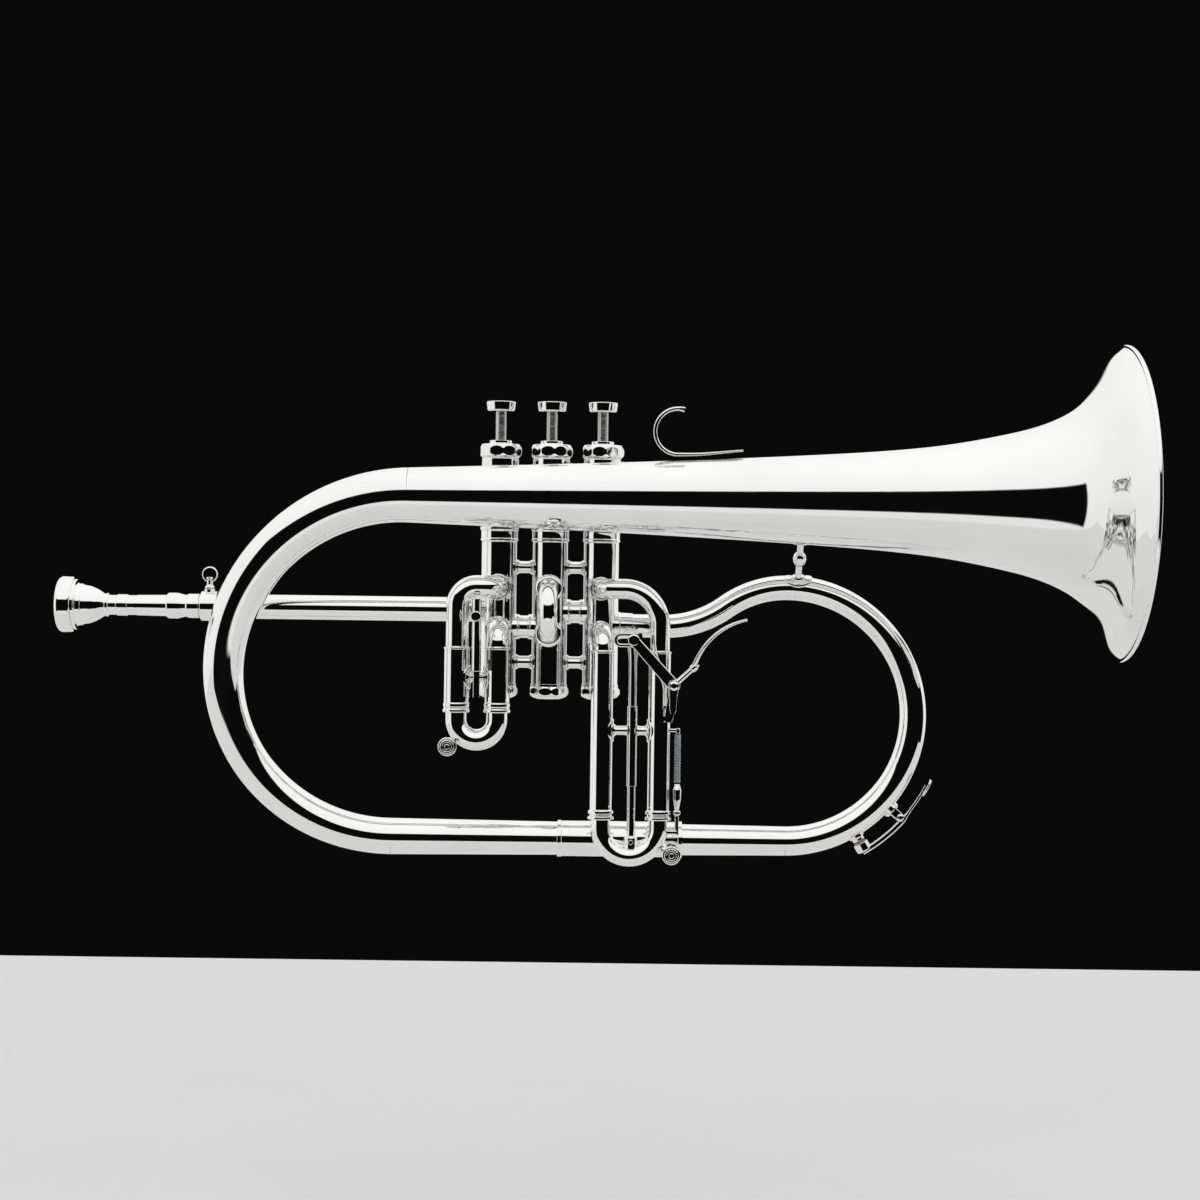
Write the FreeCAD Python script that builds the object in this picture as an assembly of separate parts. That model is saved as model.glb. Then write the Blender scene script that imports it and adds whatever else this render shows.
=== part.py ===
import FreeCAD, Part
import math
import os

V = FreeCAD.Vector

# A flugelhorn with three piston valves, in millimetres.
# Origin: the second valve's axis, at the height of the leadpipe.
# +X points to the bell mouth, +Z up along the valves, -Y to the side of the three slides.

# Bell and bows
BELL_Z = 54.6
BELL_Y = -26.5
BELL_MOUTH_X = 274.3
BELL_MOUTH_R = 76.2
BELL_WALL = 0.7
BEAD_R = 1.05
BELL_START_X = -67.8
LEFT_BOW_TOP_R = 13.4
LEFT_BOW_BOTTOM_X = -76.4
LEFT_BOW_BOTTOM_R = 8.95
LEFT_BOW_REACH = 85.6
BOTTOM_Z = -111.9
RIGHT_BOW_X = 117.0
RIGHT_BOW_R = 62.3
RIGHT_BOW_BOTTOM_R = 7.2
RIGHT_BOW_TOP_R = 6.1
BRANCH_X = 56.5
BRANCH_R = 5.75
BOW_WALL = 0.7
SLEEVE_X = (5.2, 66.4)
SLEEVE_R = 8.75

# Valves
PITCH = 25.1
VALVES = (-PITCH, 0.0, PITCH)
CASING_R = 8.95
CASING_BORE = 8.05
CASING_Z = (-38.0, 77.5)
PISTON_R = 8.0
PISTON_Z = (-18.0, 36.0)
STROKE = 14.0
BARREL_R = 5.5
BARREL_TOP = 67.0
STEM_R = 2.65
STEM_HOLE = 2.75
BUTTON_R = 7.45
BUTTON_Z = (97.6, 102.4)
CAP_R = 10.5
CAP_Z = (70.5, 81.4)
BOTTOM_CAP_R = 10.1
BOTTOM_CAP_Z = (-43.4, -36.0)
BORE_R = 5.0

# Where the tubes meet the valves: heights of the ports
LEAD_Z = 0.0
LINK_12_Z = -8.1
LINK_23_Z = -0.5
EXIT_Z = -7.0
LINK_R = 5.8

# Leadpipe and mouthpiece
LEAD_R = 6.05
LEAD_BORE = 5.45
LEAD_END_X = -163.3
SLIDE_PIPE_R = 5.4
RECEIVER_X = (-188.1, -171.5)
SHANK_R = 4.9
MOUTHPIECE_X = -241.1
RIM_R = 13.9
CLAMP_X = -167.4

# Slides
SLIDE_Y = -20.0
FIRST_LEGS = (-44.1, -24.4)
FIRST_PORTS = (11.2, -9.5)
FIRST_OUTER_R = 6.15
FIRST_INNER_R = 5.2
FIRST_TOP_Z = -18.5
FIRST_END_Z = -49.5
FIRST_LOW_Z = -68.0
SECOND_PORT_Z = 10.8
SECOND_OUTER_R = 5.4
SECOND_INNER_R = 4.6
SECOND_END_Y = -24.0
SECOND_CROOK_Y = -31.0
THIRD_LEGS = (26.3, 54.0)
THIRD_PORTS = (11.0, -10.5)
THIRD_OUTER_R = 5.45
THIRD_INNER_R = 4.7
THIRD_TOP_Z = -19.5
THIRD_END_Z = -100.3
THIRD_LOW_Z = -123.0
SLIDE_WALL = 0.6
FIT = 0.05

# Lyre holder on the first slide's brace
LYRE_X = -34.25
LYRE_Y = -28.4
LYRE_BORE = 1.35
LYRE_SCREW_Z = -3.0

# Third-slide trigger
ROD_X = 41.0
ROD_R = 2.0
HEAD_Z = -13.6
HEAD_Y = (-26.0, -23.0)
PIVOT = V(60.6, 0, -35.1)
LEVER_Y = (-29.2, -26.8)
PIN_R = 1.0
SPRING_X = 63.1
SPRING_Z = (-82.5, -58.8)
SPRING_R = 1.6

# Lever water key on the right bow, placed by angles about the bow's centre
KEY_PIVOT_ANGLE = -41.4
KEY_CORK_ANGLE = -59.2
KEY_TIP_ANGLE = -23.6
KEY_PIVOT_R = 75.2

os.makedirs("parts", exist_ok=True)


def save(name, shape):
    """Write one node, with any boolean seams merged."""
    shape.removeSplitter().exportStep("parts/" + name + ".step")


def joined(shapes):
    """Fuse a list of solids that touch or overlap."""
    return shapes[0].multiFuse(shapes[1:])


def rod(a, b, r):
    """A round bar from a to b."""
    return Part.makeCylinder(r, (b - a).Length, a, b - a)


def pipe(a, b, outer, inner):
    """A straight tube from a to b."""
    return rod(a, b, outer).cut(rod(a, b, inner))


def block(low, high):
    """A box between two corners."""
    return Part.makeBox(high.x - low.x, high.y - low.y, high.z - low.z, low)


def lathe(outline, origin, along):
    """Turn a closed outline of (distance, radius) points about an axis."""
    points = [V(r, 0, t) for t, r in outline]
    face = Part.Face(Part.makePolygon(points + [points[0]]))
    solid = face.revolve(V(0, 0, 0), V(0, 0, 1), 360)
    solid.Placement = FreeCAD.Placement(origin, FreeCAD.Rotation(V(0, 0, 1), along))
    return solid


def rounded(points, radii):
    """Straight runs through the points, with a tangent arc at each corner."""
    edges = []
    start = points[0]
    for before, corner, after, radius in zip(points, points[1:], points[2:], radii):
        back = (before - corner).normalize()
        ahead = (after - corner).normalize()
        half = back.getAngle(ahead) / 2
        reach = radius / math.tan(half)
        first = corner + back * reach
        last = corner + ahead * reach
        middle = corner + (back + ahead).normalize() * (radius / math.sin(half) - radius)
        if (first - start).Length > 1e-4:
            edges.append(Part.makeLine(start, first))
        edges.append(Part.Arc(first, middle, last).toShape())
        start = last
    if (points[-1] - start).Length > 1e-4:
        edges.append(Part.makeLine(start, points[-1]))
    return Part.Wire(edges)


def bent(points, radii, outer, inner):
    """A tube of constant section along a rounded path."""
    path = rounded(points, radii)
    start = points[0]
    along = points[1] - points[0]
    solids = []
    for r in (outer, inner):
        section = Part.Wire([Part.makeCircle(r, start, along)])
        solids.append(path.makePipeShell([section], True, False))
    return solids[0].cut(solids[1])


def crook(legs, y, start_z, low_z, outer, inner):
    """A U of tube: two legs in one plane, and a half circle that reaches down to low_z."""
    left, right = legs
    radius = (right - left) / 2
    centre_z = low_z + outer + radius
    parts = [pipe(V(x, y, start_z), V(x, y, centre_z), outer, inner) for x in legs]
    axis = V((left + right) / 2, y, centre_z)
    section = Part.Face([Part.Wire([Part.makeCircle(r, V(left, y, centre_z), V(0, 0, 1))])
                         for r in (outer, inner)])
    parts.append(section.revolve(axis, V(0, -1, 0), 180))
    return joined(parts)


def crook_bar(centre, crook_r, tube_r):
    """The half ring at the foot of a crook with its bore filled, for cutting seats that fit it."""
    disc = Part.Face(Part.Wire([Part.makeCircle(tube_r, centre - V(crook_r, 0, 0), V(0, 0, 1))]))
    return disc.revolve(centre, V(0, -1, 0), 180)


def tapered_arc(centre, outward, ahead, angles, radii, wall, stations=9, growth=1.0):
    """A tube bent to an arc while its radius grows.

    The half diameters outward and ahead give the arc's plane and reach: at 0 degrees the tube's
    centre is at the end of outward and heads along ahead. The tube's radius follows the share of the turn, raised to the power growth. No wall gives a solid bar.
    """
    side = outward.cross(ahead).normalize()
    lofts = []
    for thin in (0.0, wall) if wall else (0.0,):
        hoops = []
        for i in range(stations):
            share = i / (stations - 1)
            angle = math.radians(angles[0] + (angles[1] - angles[0]) * share)
            radius = radii[0] + (radii[1] - radii[0]) * share ** growth - thin
            place = centre + outward * math.cos(angle) + ahead * math.sin(angle)
            heading = ahead * math.cos(angle) - outward * math.sin(angle)
            hoop = Part.makeCircle(radius)
            turn = FreeCAD.Rotation(side, V(0, 0, 0), heading, "ZXY")
            hoop.Placement = FreeCAD.Placement(place, turn)
            hoops.append(Part.Wire([hoop]))
        lofts.append(Part.makeLoft(hoops, True, False))
    return lofts[0].cut(lofts[1]) if wall else lofts[0]


def tapered_pipe(a, b, start_r, end_r, wall):
    """A straight tube whose radius grows evenly from a to b."""
    length = (b - a).Length
    outline = [(0, start_r), (length, end_r), (length, end_r - wall), (0, start_r - wall)]
    return lathe(outline, a, b - a)


def sector(centre, r_low, r_high, angles, y_low, y_high):
    """A curved bar: a rectangle swept about Y; angles run from +X towards +Z."""
    face = Part.Face(Part.makePolygon([V(r_low, y_low, 0), V(r_high, y_low, 0), V(r_high, y_high, 0),
                                       V(r_low, y_high, 0), V(r_low, y_low, 0)]))
    bar = face.revolve(V(0, 0, 0), V(0, -1, 0), angles[1] - angles[0])
    bar.rotate(V(0, 0, 0), V(0, -1, 0), angles[0])
    bar.translate(V(centre.x, 0, centre.z))
    return bar


def plate(points, y_low, y_high):
    """A flat plate in the XZ plane with the given outline."""
    corners = [V(x, y_low, z) for x, z in points]
    face = Part.Face(Part.makePolygon(corners + [corners[0]]))
    return face.extrude(V(0, y_high - y_low, 0))


# ---------------------------------------------------------------- bell, bows and bottom tube

def bell():
    """The bell: a slow cone that opens into the flare, with a rolled bead at the mouth."""
    shape = [(BELL_START_X, LEFT_BOW_TOP_R), (43, 17.6), (130, 22.15), (168, 25.0), (192, 27.95), (216, 32.55),
             (236, 38.0), (245.6, 42.3), (252, 46.6), (258, 54.4), (264, 65.0), (268.5, 71.0),
             (BELL_MOUTH_X, BELL_MOUTH_R)]
    outer = Part.BSplineCurve()
    outer.interpolate([V(x, 0, r) for x, r in shape])
    inner_points = []
    for x, r in shape:
        along = outer.tangent(outer.parameter(V(x, 0, r)))[0]
        inner_points.append(V(x + BELL_WALL * along.z, 0, r - BELL_WALL * along.x))
    inner_points[-1] = V(BELL_MOUTH_X, 0, BELL_MOUTH_R - 1.0)
    inner_points[0] = V(BELL_START_X, 0, LEFT_BOW_TOP_R - BELL_WALL)
    inner = Part.BSplineCurve()
    inner.interpolate(inner_points)
    edges = [outer.toShape(),
             Part.makeLine(V(BELL_MOUTH_X, 0, BELL_MOUTH_R), inner_points[-1]),
             inner.toShape(),
             Part.makeLine(inner_points[0], V(BELL_START_X, 0, LEFT_BOW_TOP_R))]
    face = Part.Face(Part.Wire(Part.__sortEdges__(edges)))
    horn = face.revolve(V(0, 0, 0), V(1, 0, 0), 360)
    bead = Part.makeTorus(BELL_MOUTH_R - BEAD_R, BEAD_R, V(BELL_MOUTH_X - BEAD_R / 2, 0, 0), V(1, 0, 0))
    horn = horn.fuse(bead)
    horn.translate(V(0, BELL_Y, BELL_Z))
    return horn


def bell_bow():
    """The left bow: half a turn in a plane that leans from the bottom tube to the bell."""
    top = V(BELL_START_X, BELL_Y, BELL_Z)
    bottom = V(LEFT_BOW_BOTTOM_X, 0, BOTTOM_Z)
    centre = (top + bottom) * 0.5
    return tapered_arc(centre, bottom - centre, V(-LEFT_BOW_REACH, 0, 0), (0, 180),
                       (LEFT_BOW_BOTTOM_R, LEFT_BOW_TOP_R), BOW_WALL, 17, 1.9)


def bottom_tube():
    left = V(LEFT_BOW_BOTTOM_X, 0, BOTTOM_Z)
    right = V(RIGHT_BOW_X, 0, BOTTOM_Z)
    return tapered_pipe(right, left, RIGHT_BOW_BOTTOM_R, LEFT_BOW_BOTTOM_R, BOW_WALL)


def bottom_sleeve():
    """The ferrule over the joint in the bottom tube, with a thin collar at each end."""
    start, end = SLEEVE_X
    sleeve = pipe(V(start, 0, BOTTOM_Z), V(end, 0, BOTTOM_Z), SLEEVE_R, 7.2)
    for x in (start, end - 2.0):
        sleeve = sleeve.fuse(pipe(V(x, 0, BOTTOM_Z), V(x + 2.0, 0, BOTTOM_Z), SLEEVE_R + 0.3, 8.0))
    return sleeve.cut(tapered_solid())


def tapered_solid():
    """The bottom tube with its bore filled, for cutting seats that fit it."""
    left = V(LEFT_BOW_BOTTOM_X, 0, BOTTOM_Z)
    right = V(RIGHT_BOW_X, 0, BOTTOM_Z)
    length = (left - right).Length
    return lathe([(0, 0), (0, RIGHT_BOW_BOTTOM_R), (length, LEFT_BOW_BOTTOM_R), (length, 0)],
                 right, left - right)


BOW_CENTRE = V(RIGHT_BOW_X, 0, BOTTOM_Z + RIGHT_BOW_R)


def lower_bow():
    """The right bow: half a turn from the bottom tube up to the branch from the third valve."""
    return tapered_arc(BOW_CENTRE, V(0, 0, RIGHT_BOW_R), V(RIGHT_BOW_R, 0, 0), (0, 180),
                       (RIGHT_BOW_TOP_R, RIGHT_BOW_BOTTOM_R), BOW_WALL, 17)


def branch_arcs(wall):
    """The two equal arcs of the branch's S; no wall gives solid bars."""
    rise = BOW_CENTRE.z + RIGHT_BOW_R - EXIT_Z
    run = RIGHT_BOW_X - BRANCH_X
    turn = 2 * math.atan(rise / run)
    radius = run / (2 * math.sin(turn))
    middle_r = (BRANCH_R + RIGHT_BOW_TOP_R) / 2
    bend = math.degrees(turn)
    first = tapered_arc(V(BRANCH_X, 0, EXIT_Z + radius), V(0, 0, -radius), V(radius, 0, 0), (0, bend),
                        (BRANCH_R, middle_r), wall, 7)
    second = tapered_arc(V(RIGHT_BOW_X, 0, EXIT_Z + rise - radius), V(0, 0, radius), V(radius, 0, 0),
                         (-bend, 0), (middle_r, RIGHT_BOW_TOP_R), wall, 7)
    return [first, second]


def exit_branch():
    """The tube from the third valve: a straight run, then an S up to the bow."""
    straight = pipe(V(PITCH + CASING_R - 0.3, 0, EXIT_Z), V(BRANCH_X, 0, EXIT_Z), BRANCH_R,
                    BRANCH_R - BOW_WALL)
    branch = joined([straight] + branch_arcs(BOW_WALL))
    return branch.cut(rod(V(PITCH, 0, -40), V(PITCH, 0, 60), CASING_R))


def exit_ferrule():
    """The collar that joins the branch to the third valve."""
    start = PITCH + CASING_R - 1.0
    collar = lathe([(0, 5.75), (0, 6.9), (1.2, 6.9), (2.2, 6.4), (8.0, 6.3), (8.0, 5.75)],
                   V(start, 0, EXIT_Z), V(1, 0, 0))
    return collar.cut(rod(V(PITCH, 0, -40), V(PITCH, 0, 60), CASING_R))


# ---------------------------------------------------------------- valves

def casing(x, ports):
    """A valve casing with a hole for each tube that it meets; ports are (direction, height)."""
    shell = pipe(V(x, 0, CASING_Z[0]), V(x, 0, CASING_Z[1]), CASING_R, CASING_BORE)
    band = pipe(V(x, 0, 33.9), V(x, 0, 41.9), 9.9, CASING_R - 0.3)
    shell = shell.fuse(band)
    for direction, z in ports:
        shell = shell.cut(rod(V(x, 0, z), V(x, 0, z) + direction * (CASING_R + 1), BORE_R))
    return shell


def piston(x, rest, pressed):
    """A piston with its spring barrel; rest and pressed are passages cut through the body."""
    low, high = PISTON_Z
    body = rod(V(x, 0, low), V(x, 0, high), PISTON_R)
    cuts = [rest] + pressed
    for (from_side, from_z), (to_side, to_z) in cuts:
        start = V(x, 0, from_z) + from_side * 11
        end = V(x, 0, to_z) + to_side * 11
        middle = V(x, 0, (from_z + to_z) / 2)
        passage = joined([rod(start, middle, 4.2), rod(middle, end, 4.2), Part.makeSphere(4.2, middle)])
        body = body.cut(passage)
    barrel = lathe([(0, 4.7), (0, BARREL_R), (BARREL_TOP - high, BARREL_R), (BARREL_TOP - high, 2.0),
                    (BARREL_TOP - high - 3, 2.0), (BARREL_TOP - high - 3, 4.7)], V(x, 0, high), V(0, 0, 1))
    slot = block(V(x - 1.8, -10, high + 1.5), V(x + 1.8, 10, high + 5.0 + STROKE))
    return body.fuse(barrel.cut(slot))


def valve_guide(x):
    """The key that holds the lower end of the spring and stops the piston turning."""
    z = PISTON_Z[1] + 2.0
    disc = rod(V(x, 0, z), V(x, 0, z + 2), 4.4)
    arms = block(V(x - 1.5, -7.8, z), V(x + 1.5, 7.8, z + 2))
    return disc.fuse(arms)


def valve_spring(x):
    """The envelope of the coil spring between the guide and the top of the barrel."""
    low = PISTON_Z[1] + 4.1
    return pipe(V(x, 0, low), V(x, 0, BARREL_TOP - 3.3), 4.3, 3.6)


def stem(x):
    """The stem, with a threaded spigot in the barrel below and one in the button above."""
    top = BUTTON_Z[0]
    return lathe([(0, 0), (0, 2.0), (3, 2.0), (3, STEM_R), (top - 64, STEM_R), (top - 64, 1.5),
                  (top - 61.5, 1.5), (top - 61.5, 0)], V(x, 0, 64), V(0, 0, 1))


def button(x):
    """The finger button: a shallow dished disc on a short neck."""
    low, high = BUTTON_Z
    tall = high - low
    return lathe([(0, 1.5), (0, BUTTON_R - 1.6), (0.9, BUTTON_R), (tall - 1.0, BUTTON_R),
                  (tall, BUTTON_R - 0.9), (tall - 0.7, BUTTON_R - 1.6), (tall - 0.9, 0), (2.6, 0),
                  (2.6, 1.5)], V(x, 0, low), V(0, 0, 1))


def flutes(shape, x, z_low, z_high, radius, count, depth):
    """Cut shallow grooves round a knurled edge, for fingers to grip."""
    for i in range(count):
        angle = 2 * math.pi * i / count
        place = V(x + radius * math.cos(angle), radius * math.sin(angle), z_low)
        shape = shape.cut(rod(place, place + V(0, 0, z_high - z_low), depth))
    return shape


def top_cap(x):
    """The screw cap over the casing, with a fluted edge and a hole for the stem."""
    low, high = CAP_Z
    tall = high - low
    cap = lathe([(0, CASING_R), (0, 9.4), (4.0, 9.4), (4.5, CAP_R - 0.4), (5.2, CAP_R), (8.8, CAP_R),
                 (tall, 8.6), (tall, 5.65), (tall + 1.9, 5.1), (tall + 1.9, STEM_HOLE),
                 (tall - 2.6, STEM_HOLE), (tall - 2.6, 8.0), (7.2, CASING_R)], V(x, 0, low), V(0, 0, 1))
    return flutes(cap, x, low + 4.2, low + 9.4, CAP_R + 0.5, 12, 0.9)


def bottom_cap(x):
    """The screw cap under the casing, with a fluted edge and a small vent."""
    low, high = BOTTOM_CAP_Z
    tall = high - low
    cap = lathe([(0, 0.9), (0, 6.6), (1.6, BOTTOM_CAP_R - 0.8), (2.6, BOTTOM_CAP_R), (5.2, BOTTOM_CAP_R),
                 (6.0, 9.6), (tall, 9.6), (tall, CASING_R), (5.4, CASING_R), (5.4, 8.0), (1.4, 8.0),
                 (1.4, 0.9)], V(x, 0, low), V(0, 0, 1))
    return flutes(cap, x, low + 1.4, low + 5.4, BOTTOM_CAP_R + 0.5, 12, 0.9)


def link_tube(x, z):
    """The short tube between two casings, cut to sit on both."""
    tube = pipe(V(x, 0, z), V(x + PITCH, 0, z), LINK_R, BORE_R)
    for side in (x, x + PITCH):
        tube = tube.cut(rod(V(side, 0, z - 20), V(side, 0, z + 20), CASING_R))
    return tube


def casing_brace(x, z):
    """A turned brace between two casings, with a round foot at each end."""
    bar = rod(V(x, 0, z), V(x + PITCH, 0, z), 3.1)
    feet = [rod(V(x, 0, z), V(x + CASING_R + 0.9, 0, z), 3.7),
            rod(V(x + PITCH - CASING_R - 0.9, 0, z), V(x + PITCH, 0, z), 3.7)]
    brace = joined([bar] + feet)
    for side in (x, x + PITCH):
        brace = brace.cut(rod(V(side, 0, z - 20), V(side, 0, z + 20), CASING_R))
    return brace


# ---------------------------------------------------------------- leadpipe and mouthpiece

def leadpipe():
    """The fixed outer leadpipe, from the clamp to the first valve."""
    tube = pipe(V(LEAD_END_X, 0, 0), V(-PITCH, 0, 0), LEAD_R, LEAD_BORE)
    tube = tube.fuse(pipe(V(-50.5, 0, 0), V(-48.0, 0, 0), LEAD_R + 0.5, LEAD_R - 0.2))
    return tube.cut(rod(V(-PITCH, 0, -40), V(-PITCH, 0, 60), CASING_R))


def mouthpipe():
    """The inner leadpipe that slides to tune the horn."""
    return pipe(V(RECEIVER_X[0] + 12, 0, 0), V(-110, 0, 0), SLIDE_PIPE_R, 4.7)


def receiver():
    """The turned socket on the mouthpipe that takes the mouthpiece shank."""
    start = RECEIVER_X[0]
    return lathe([(0, 5.35), (0, 5.9), (0.8, 6.4), (5.0, 6.4), (7.4, 5.8), (8.4, 5.5), (9.6, 5.5),
                  (10.4, 6.0), (16.0, 6.0), (16.0, SLIDE_PIPE_R + FIT), (11.5, SLIDE_PIPE_R + FIT),
                  (11.5, 4.6), (10.0, 5.2)], V(start, 0, 0), V(1, 0, 0))


def clamp_collar():
    """The split collar on the end of the outer leadpipe, with a lug for its screw."""
    ring = pipe(V(-171.3, 0, 0), V(-163.35, 0, 0), 7.35, LEAD_R + 0.1)
    lug = rod(V(CLAMP_X, 0, 5.0), V(CLAMP_X, 0, 8.6), 2.6)
    ring = ring.fuse(lug)
    ring = ring.cut(rod(V(CLAMP_X, 0, 3.0), V(CLAMP_X, 0, 12.0), 1.1))
    return ring.cut(rod(V(-172, 0, 0), V(-163, 0, 0), LEAD_R + 0.1))


def clamp_screw():
    """The winged thumbscrew that locks the mouthpipe."""
    x = CLAMP_X
    post = lathe([(0, 0), (0, 1.05), (1.9, 1.05), (1.9, 2.4), (3.4, 1.5), (6.0, 1.4), (6.4, 1.9),
                  (7.2, 1.9), (7.2, 0)], V(x, 0, 7.0), V(0, 0, 1))
    wing = rod(V(x, -0.9, 15.6), V(x, 0.9, 15.6), 3.9)
    return post.fuse(wing)


def mouthpiece():
    """The mouthpiece: rim, deep cup, rings and a taper shank, bored through."""
    outline = [(0, 9.6), (0, 12.6), (0.7, 13.5), (1.8, RIM_R), (6.6, 13.7), (7.5, 12.9), (7.7, 12.0),
               (7.8, 12.5), (9.0, 12.5), (9.3, 10.4), (11.6, 10.3), (12.0, 9.8), (15.5, 9.2),
               (19.5, 7.4), (22.4, 5.4), (23.1, 5.8), (24.2, 5.8), (24.6, SHANK_R), (28.2, SHANK_R),
               (28.6, 5.3), (33.4, 5.3), (33.8, SHANK_R), (37.6, SHANK_R), (38.2, 5.05),
               (52.8, 5.3), (62.0, 5.15), (62.0, 4.1), (40, 2.6), (24, 2.2), (17.5, 3.4), (8.0, 7.0),
               (3.0, 8.2), (0.9, 8.6)]
    return lathe(outline, V(MOUTHPIECE_X, 0, 0), V(1, 0, 0))


# ---------------------------------------------------------------- valve slides

def slide_outer(valve_x, legs, ports, top_z, end_z, outer, inner, ring_r, bends):
    """The fixed tubes of a front slide: two knuckles from the valve and the two outer legs."""
    far, near = (legs[0], legs[1]) if valve_x < 0 else (legs[1], legs[0])
    y = SLIDE_Y
    upper = bent([V(valve_x, -7.0, ports[0]), V(valve_x, y, ports[0]), V(far, y, ports[0]),
                  V(far, y, top_z)], bends, outer - 0.45, inner)
    lower = bent([V(near, -7.0, ports[1]), V(near, y, ports[1]), V(near, y, top_z)], (7.5, 7.5),
                 outer - 0.45, inner)
    parts = [upper, lower]
    for x in legs:
        parts.append(pipe(V(x, y, top_z), V(x, y, end_z), outer, inner))
        parts.append(pipe(V(x, y, top_z - 0.7), V(x, y, top_z + 0.7), outer + 0.3, inner))
        parts.append(pipe(V(x, y, end_z), V(x, y, end_z + 4.6), ring_r, inner))
    return joined(parts).cut(rod(V(valve_x, 0, -40), V(valve_x, 0, 60), CASING_R))


def first_slide_outer():
    return slide_outer(-PITCH, FIRST_LEGS, FIRST_PORTS, FIRST_TOP_Z, FIRST_END_Z, FIRST_OUTER_R,
                       FIRST_INNER_R + FIT, 6.75, (8.5, 9.5))


def third_slide_outer():
    return slide_outer(PITCH, THIRD_LEGS, THIRD_PORTS, THIRD_TOP_Z, THIRD_END_Z, THIRD_OUTER_R,
                       THIRD_INNER_R + FIT, 6.55, (8.5, 17.5))


def first_slide():
    return crook(FIRST_LEGS, SLIDE_Y, -22.0, FIRST_LOW_Z, FIRST_INNER_R, FIRST_INNER_R - SLIDE_WALL)


def third_slide():
    return crook(THIRD_LEGS, SLIDE_Y, -24.0, THIRD_LOW_Z, THIRD_INNER_R, THIRD_INNER_R - SLIDE_WALL)


def second_slide_outer():
    """The two short tubes on the front of the second valve, each with an end ring."""
    parts = []
    for z in (SECOND_PORT_Z, -SECOND_PORT_Z):
        parts.append(pipe(V(0, -7.0, z), V(0, SECOND_END_Y, z), SECOND_OUTER_R, SECOND_INNER_R + FIT))
        parts.append(pipe(V(0, SECOND_END_Y, z), V(0, SECOND_END_Y + 3.2, z), 6.8, SECOND_INNER_R + FIT))
    tubes = joined([parts[0], parts[1]])
    others = joined([parts[2], parts[3]])
    casing_room = rod(V(0, 0, -40), V(0, 0, 60), CASING_R)
    return Part.makeCompound([tubes.cut(casing_room), others.cut(casing_room)])


def second_slide():
    """The second slide: two legs towards -Y joined by a half circle, with a small pull knob."""
    outer = SECOND_INNER_R
    inner = SECOND_INNER_R - SLIDE_WALL
    parts = [pipe(V(0, -12, z), V(0, SECOND_CROOK_Y, z), outer, inner)
             for z in (SECOND_PORT_Z, -SECOND_PORT_Z)]
    section = Part.Face([Part.Wire([Part.makeCircle(r, V(0, SECOND_CROOK_Y, SECOND_PORT_Z), V(0, 1, 0))])
                         for r in (outer, inner)])
    parts.append(section.revolve(V(0, SECOND_CROOK_Y, 0), V(1, 0, 0), 180))
    return joined(parts)


def saddle_brace(x_low, x_high, z, r_low, r_high, bar_r, foot_r):
    """A bar between two upright tubes, with a curved foot on each."""
    y = SLIDE_Y
    bar = rod(V(x_low, y, z), V(x_high, y, z), bar_r)
    feet = [rod(V(x_low, y, z), V(x_low + r_low + 1.0, y, z), foot_r),
            rod(V(x_high - r_high - 1.0, y, z), V(x_high, y, z), foot_r)]
    brace = joined([bar] + feet)
    for x, r in ((x_low, r_low), (x_high, r_high)):
        brace = brace.cut(rod(V(x, y, z - 20), V(x, y, z + 20), r))
    return brace


def slide_braces():
    """The braces between the legs of the first and third slides, the third open for its guide."""
    first = saddle_brace(FIRST_LEGS[0], FIRST_LEGS[1], -32.5, FIRST_OUTER_R, FIRST_OUTER_R, 2.6, 5.6)
    third = saddle_brace(THIRD_LEGS[0], THIRD_LEGS[1], -57.3, THIRD_OUTER_R, THIRD_OUTER_R, 2.7, 5.4)
    third = third.cut(rod(V(ROD_X, SLIDE_Y, -80), V(ROD_X, SLIDE_Y, -40), 2.45))
    return Part.makeCompound([first, third] + [tube_stay(x) for x in THIRD_LEGS])


def tube_stay(x):
    """A short stay from a leg of the third slide back to the sleeve on the bottom tube."""
    top = V(x, SLIDE_Y, -90.5)
    low = V(x, 0, BOTTOM_Z)
    towards = (low - top).normalize()
    bar = rod(top, low, 1.8)
    shoulder = top + towards * (THIRD_OUTER_R * 1.18)
    foot = low - towards * (SLEEVE_R + 1.2)
    stay = joined([bar, rod(shoulder, shoulder + towards * 1.6, 3.2), rod(foot, low, 5.6)])
    stay = stay.cut(rod(V(x, SLIDE_Y, -101), V(x, SLIDE_Y, -60), THIRD_OUTER_R))
    stay = stay.cut(rod(V(x, SLIDE_Y, THIRD_END_Z - 1), V(x, SLIDE_Y, THIRD_END_Z + 4.6), 6.55))
    stay = stay.cut(rod(V(0, 0, BOTTOM_Z), V(90, 0, BOTTOM_Z), SLEEVE_R + 0.3))
    return stay


def push_rod_guide():
    """The tube on the brace that keeps the push rod straight."""
    return pipe(V(ROD_X, SLIDE_Y, -84.2), V(ROD_X, SLIDE_Y, -45.6), 2.45, ROD_R + FIT)


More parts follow.
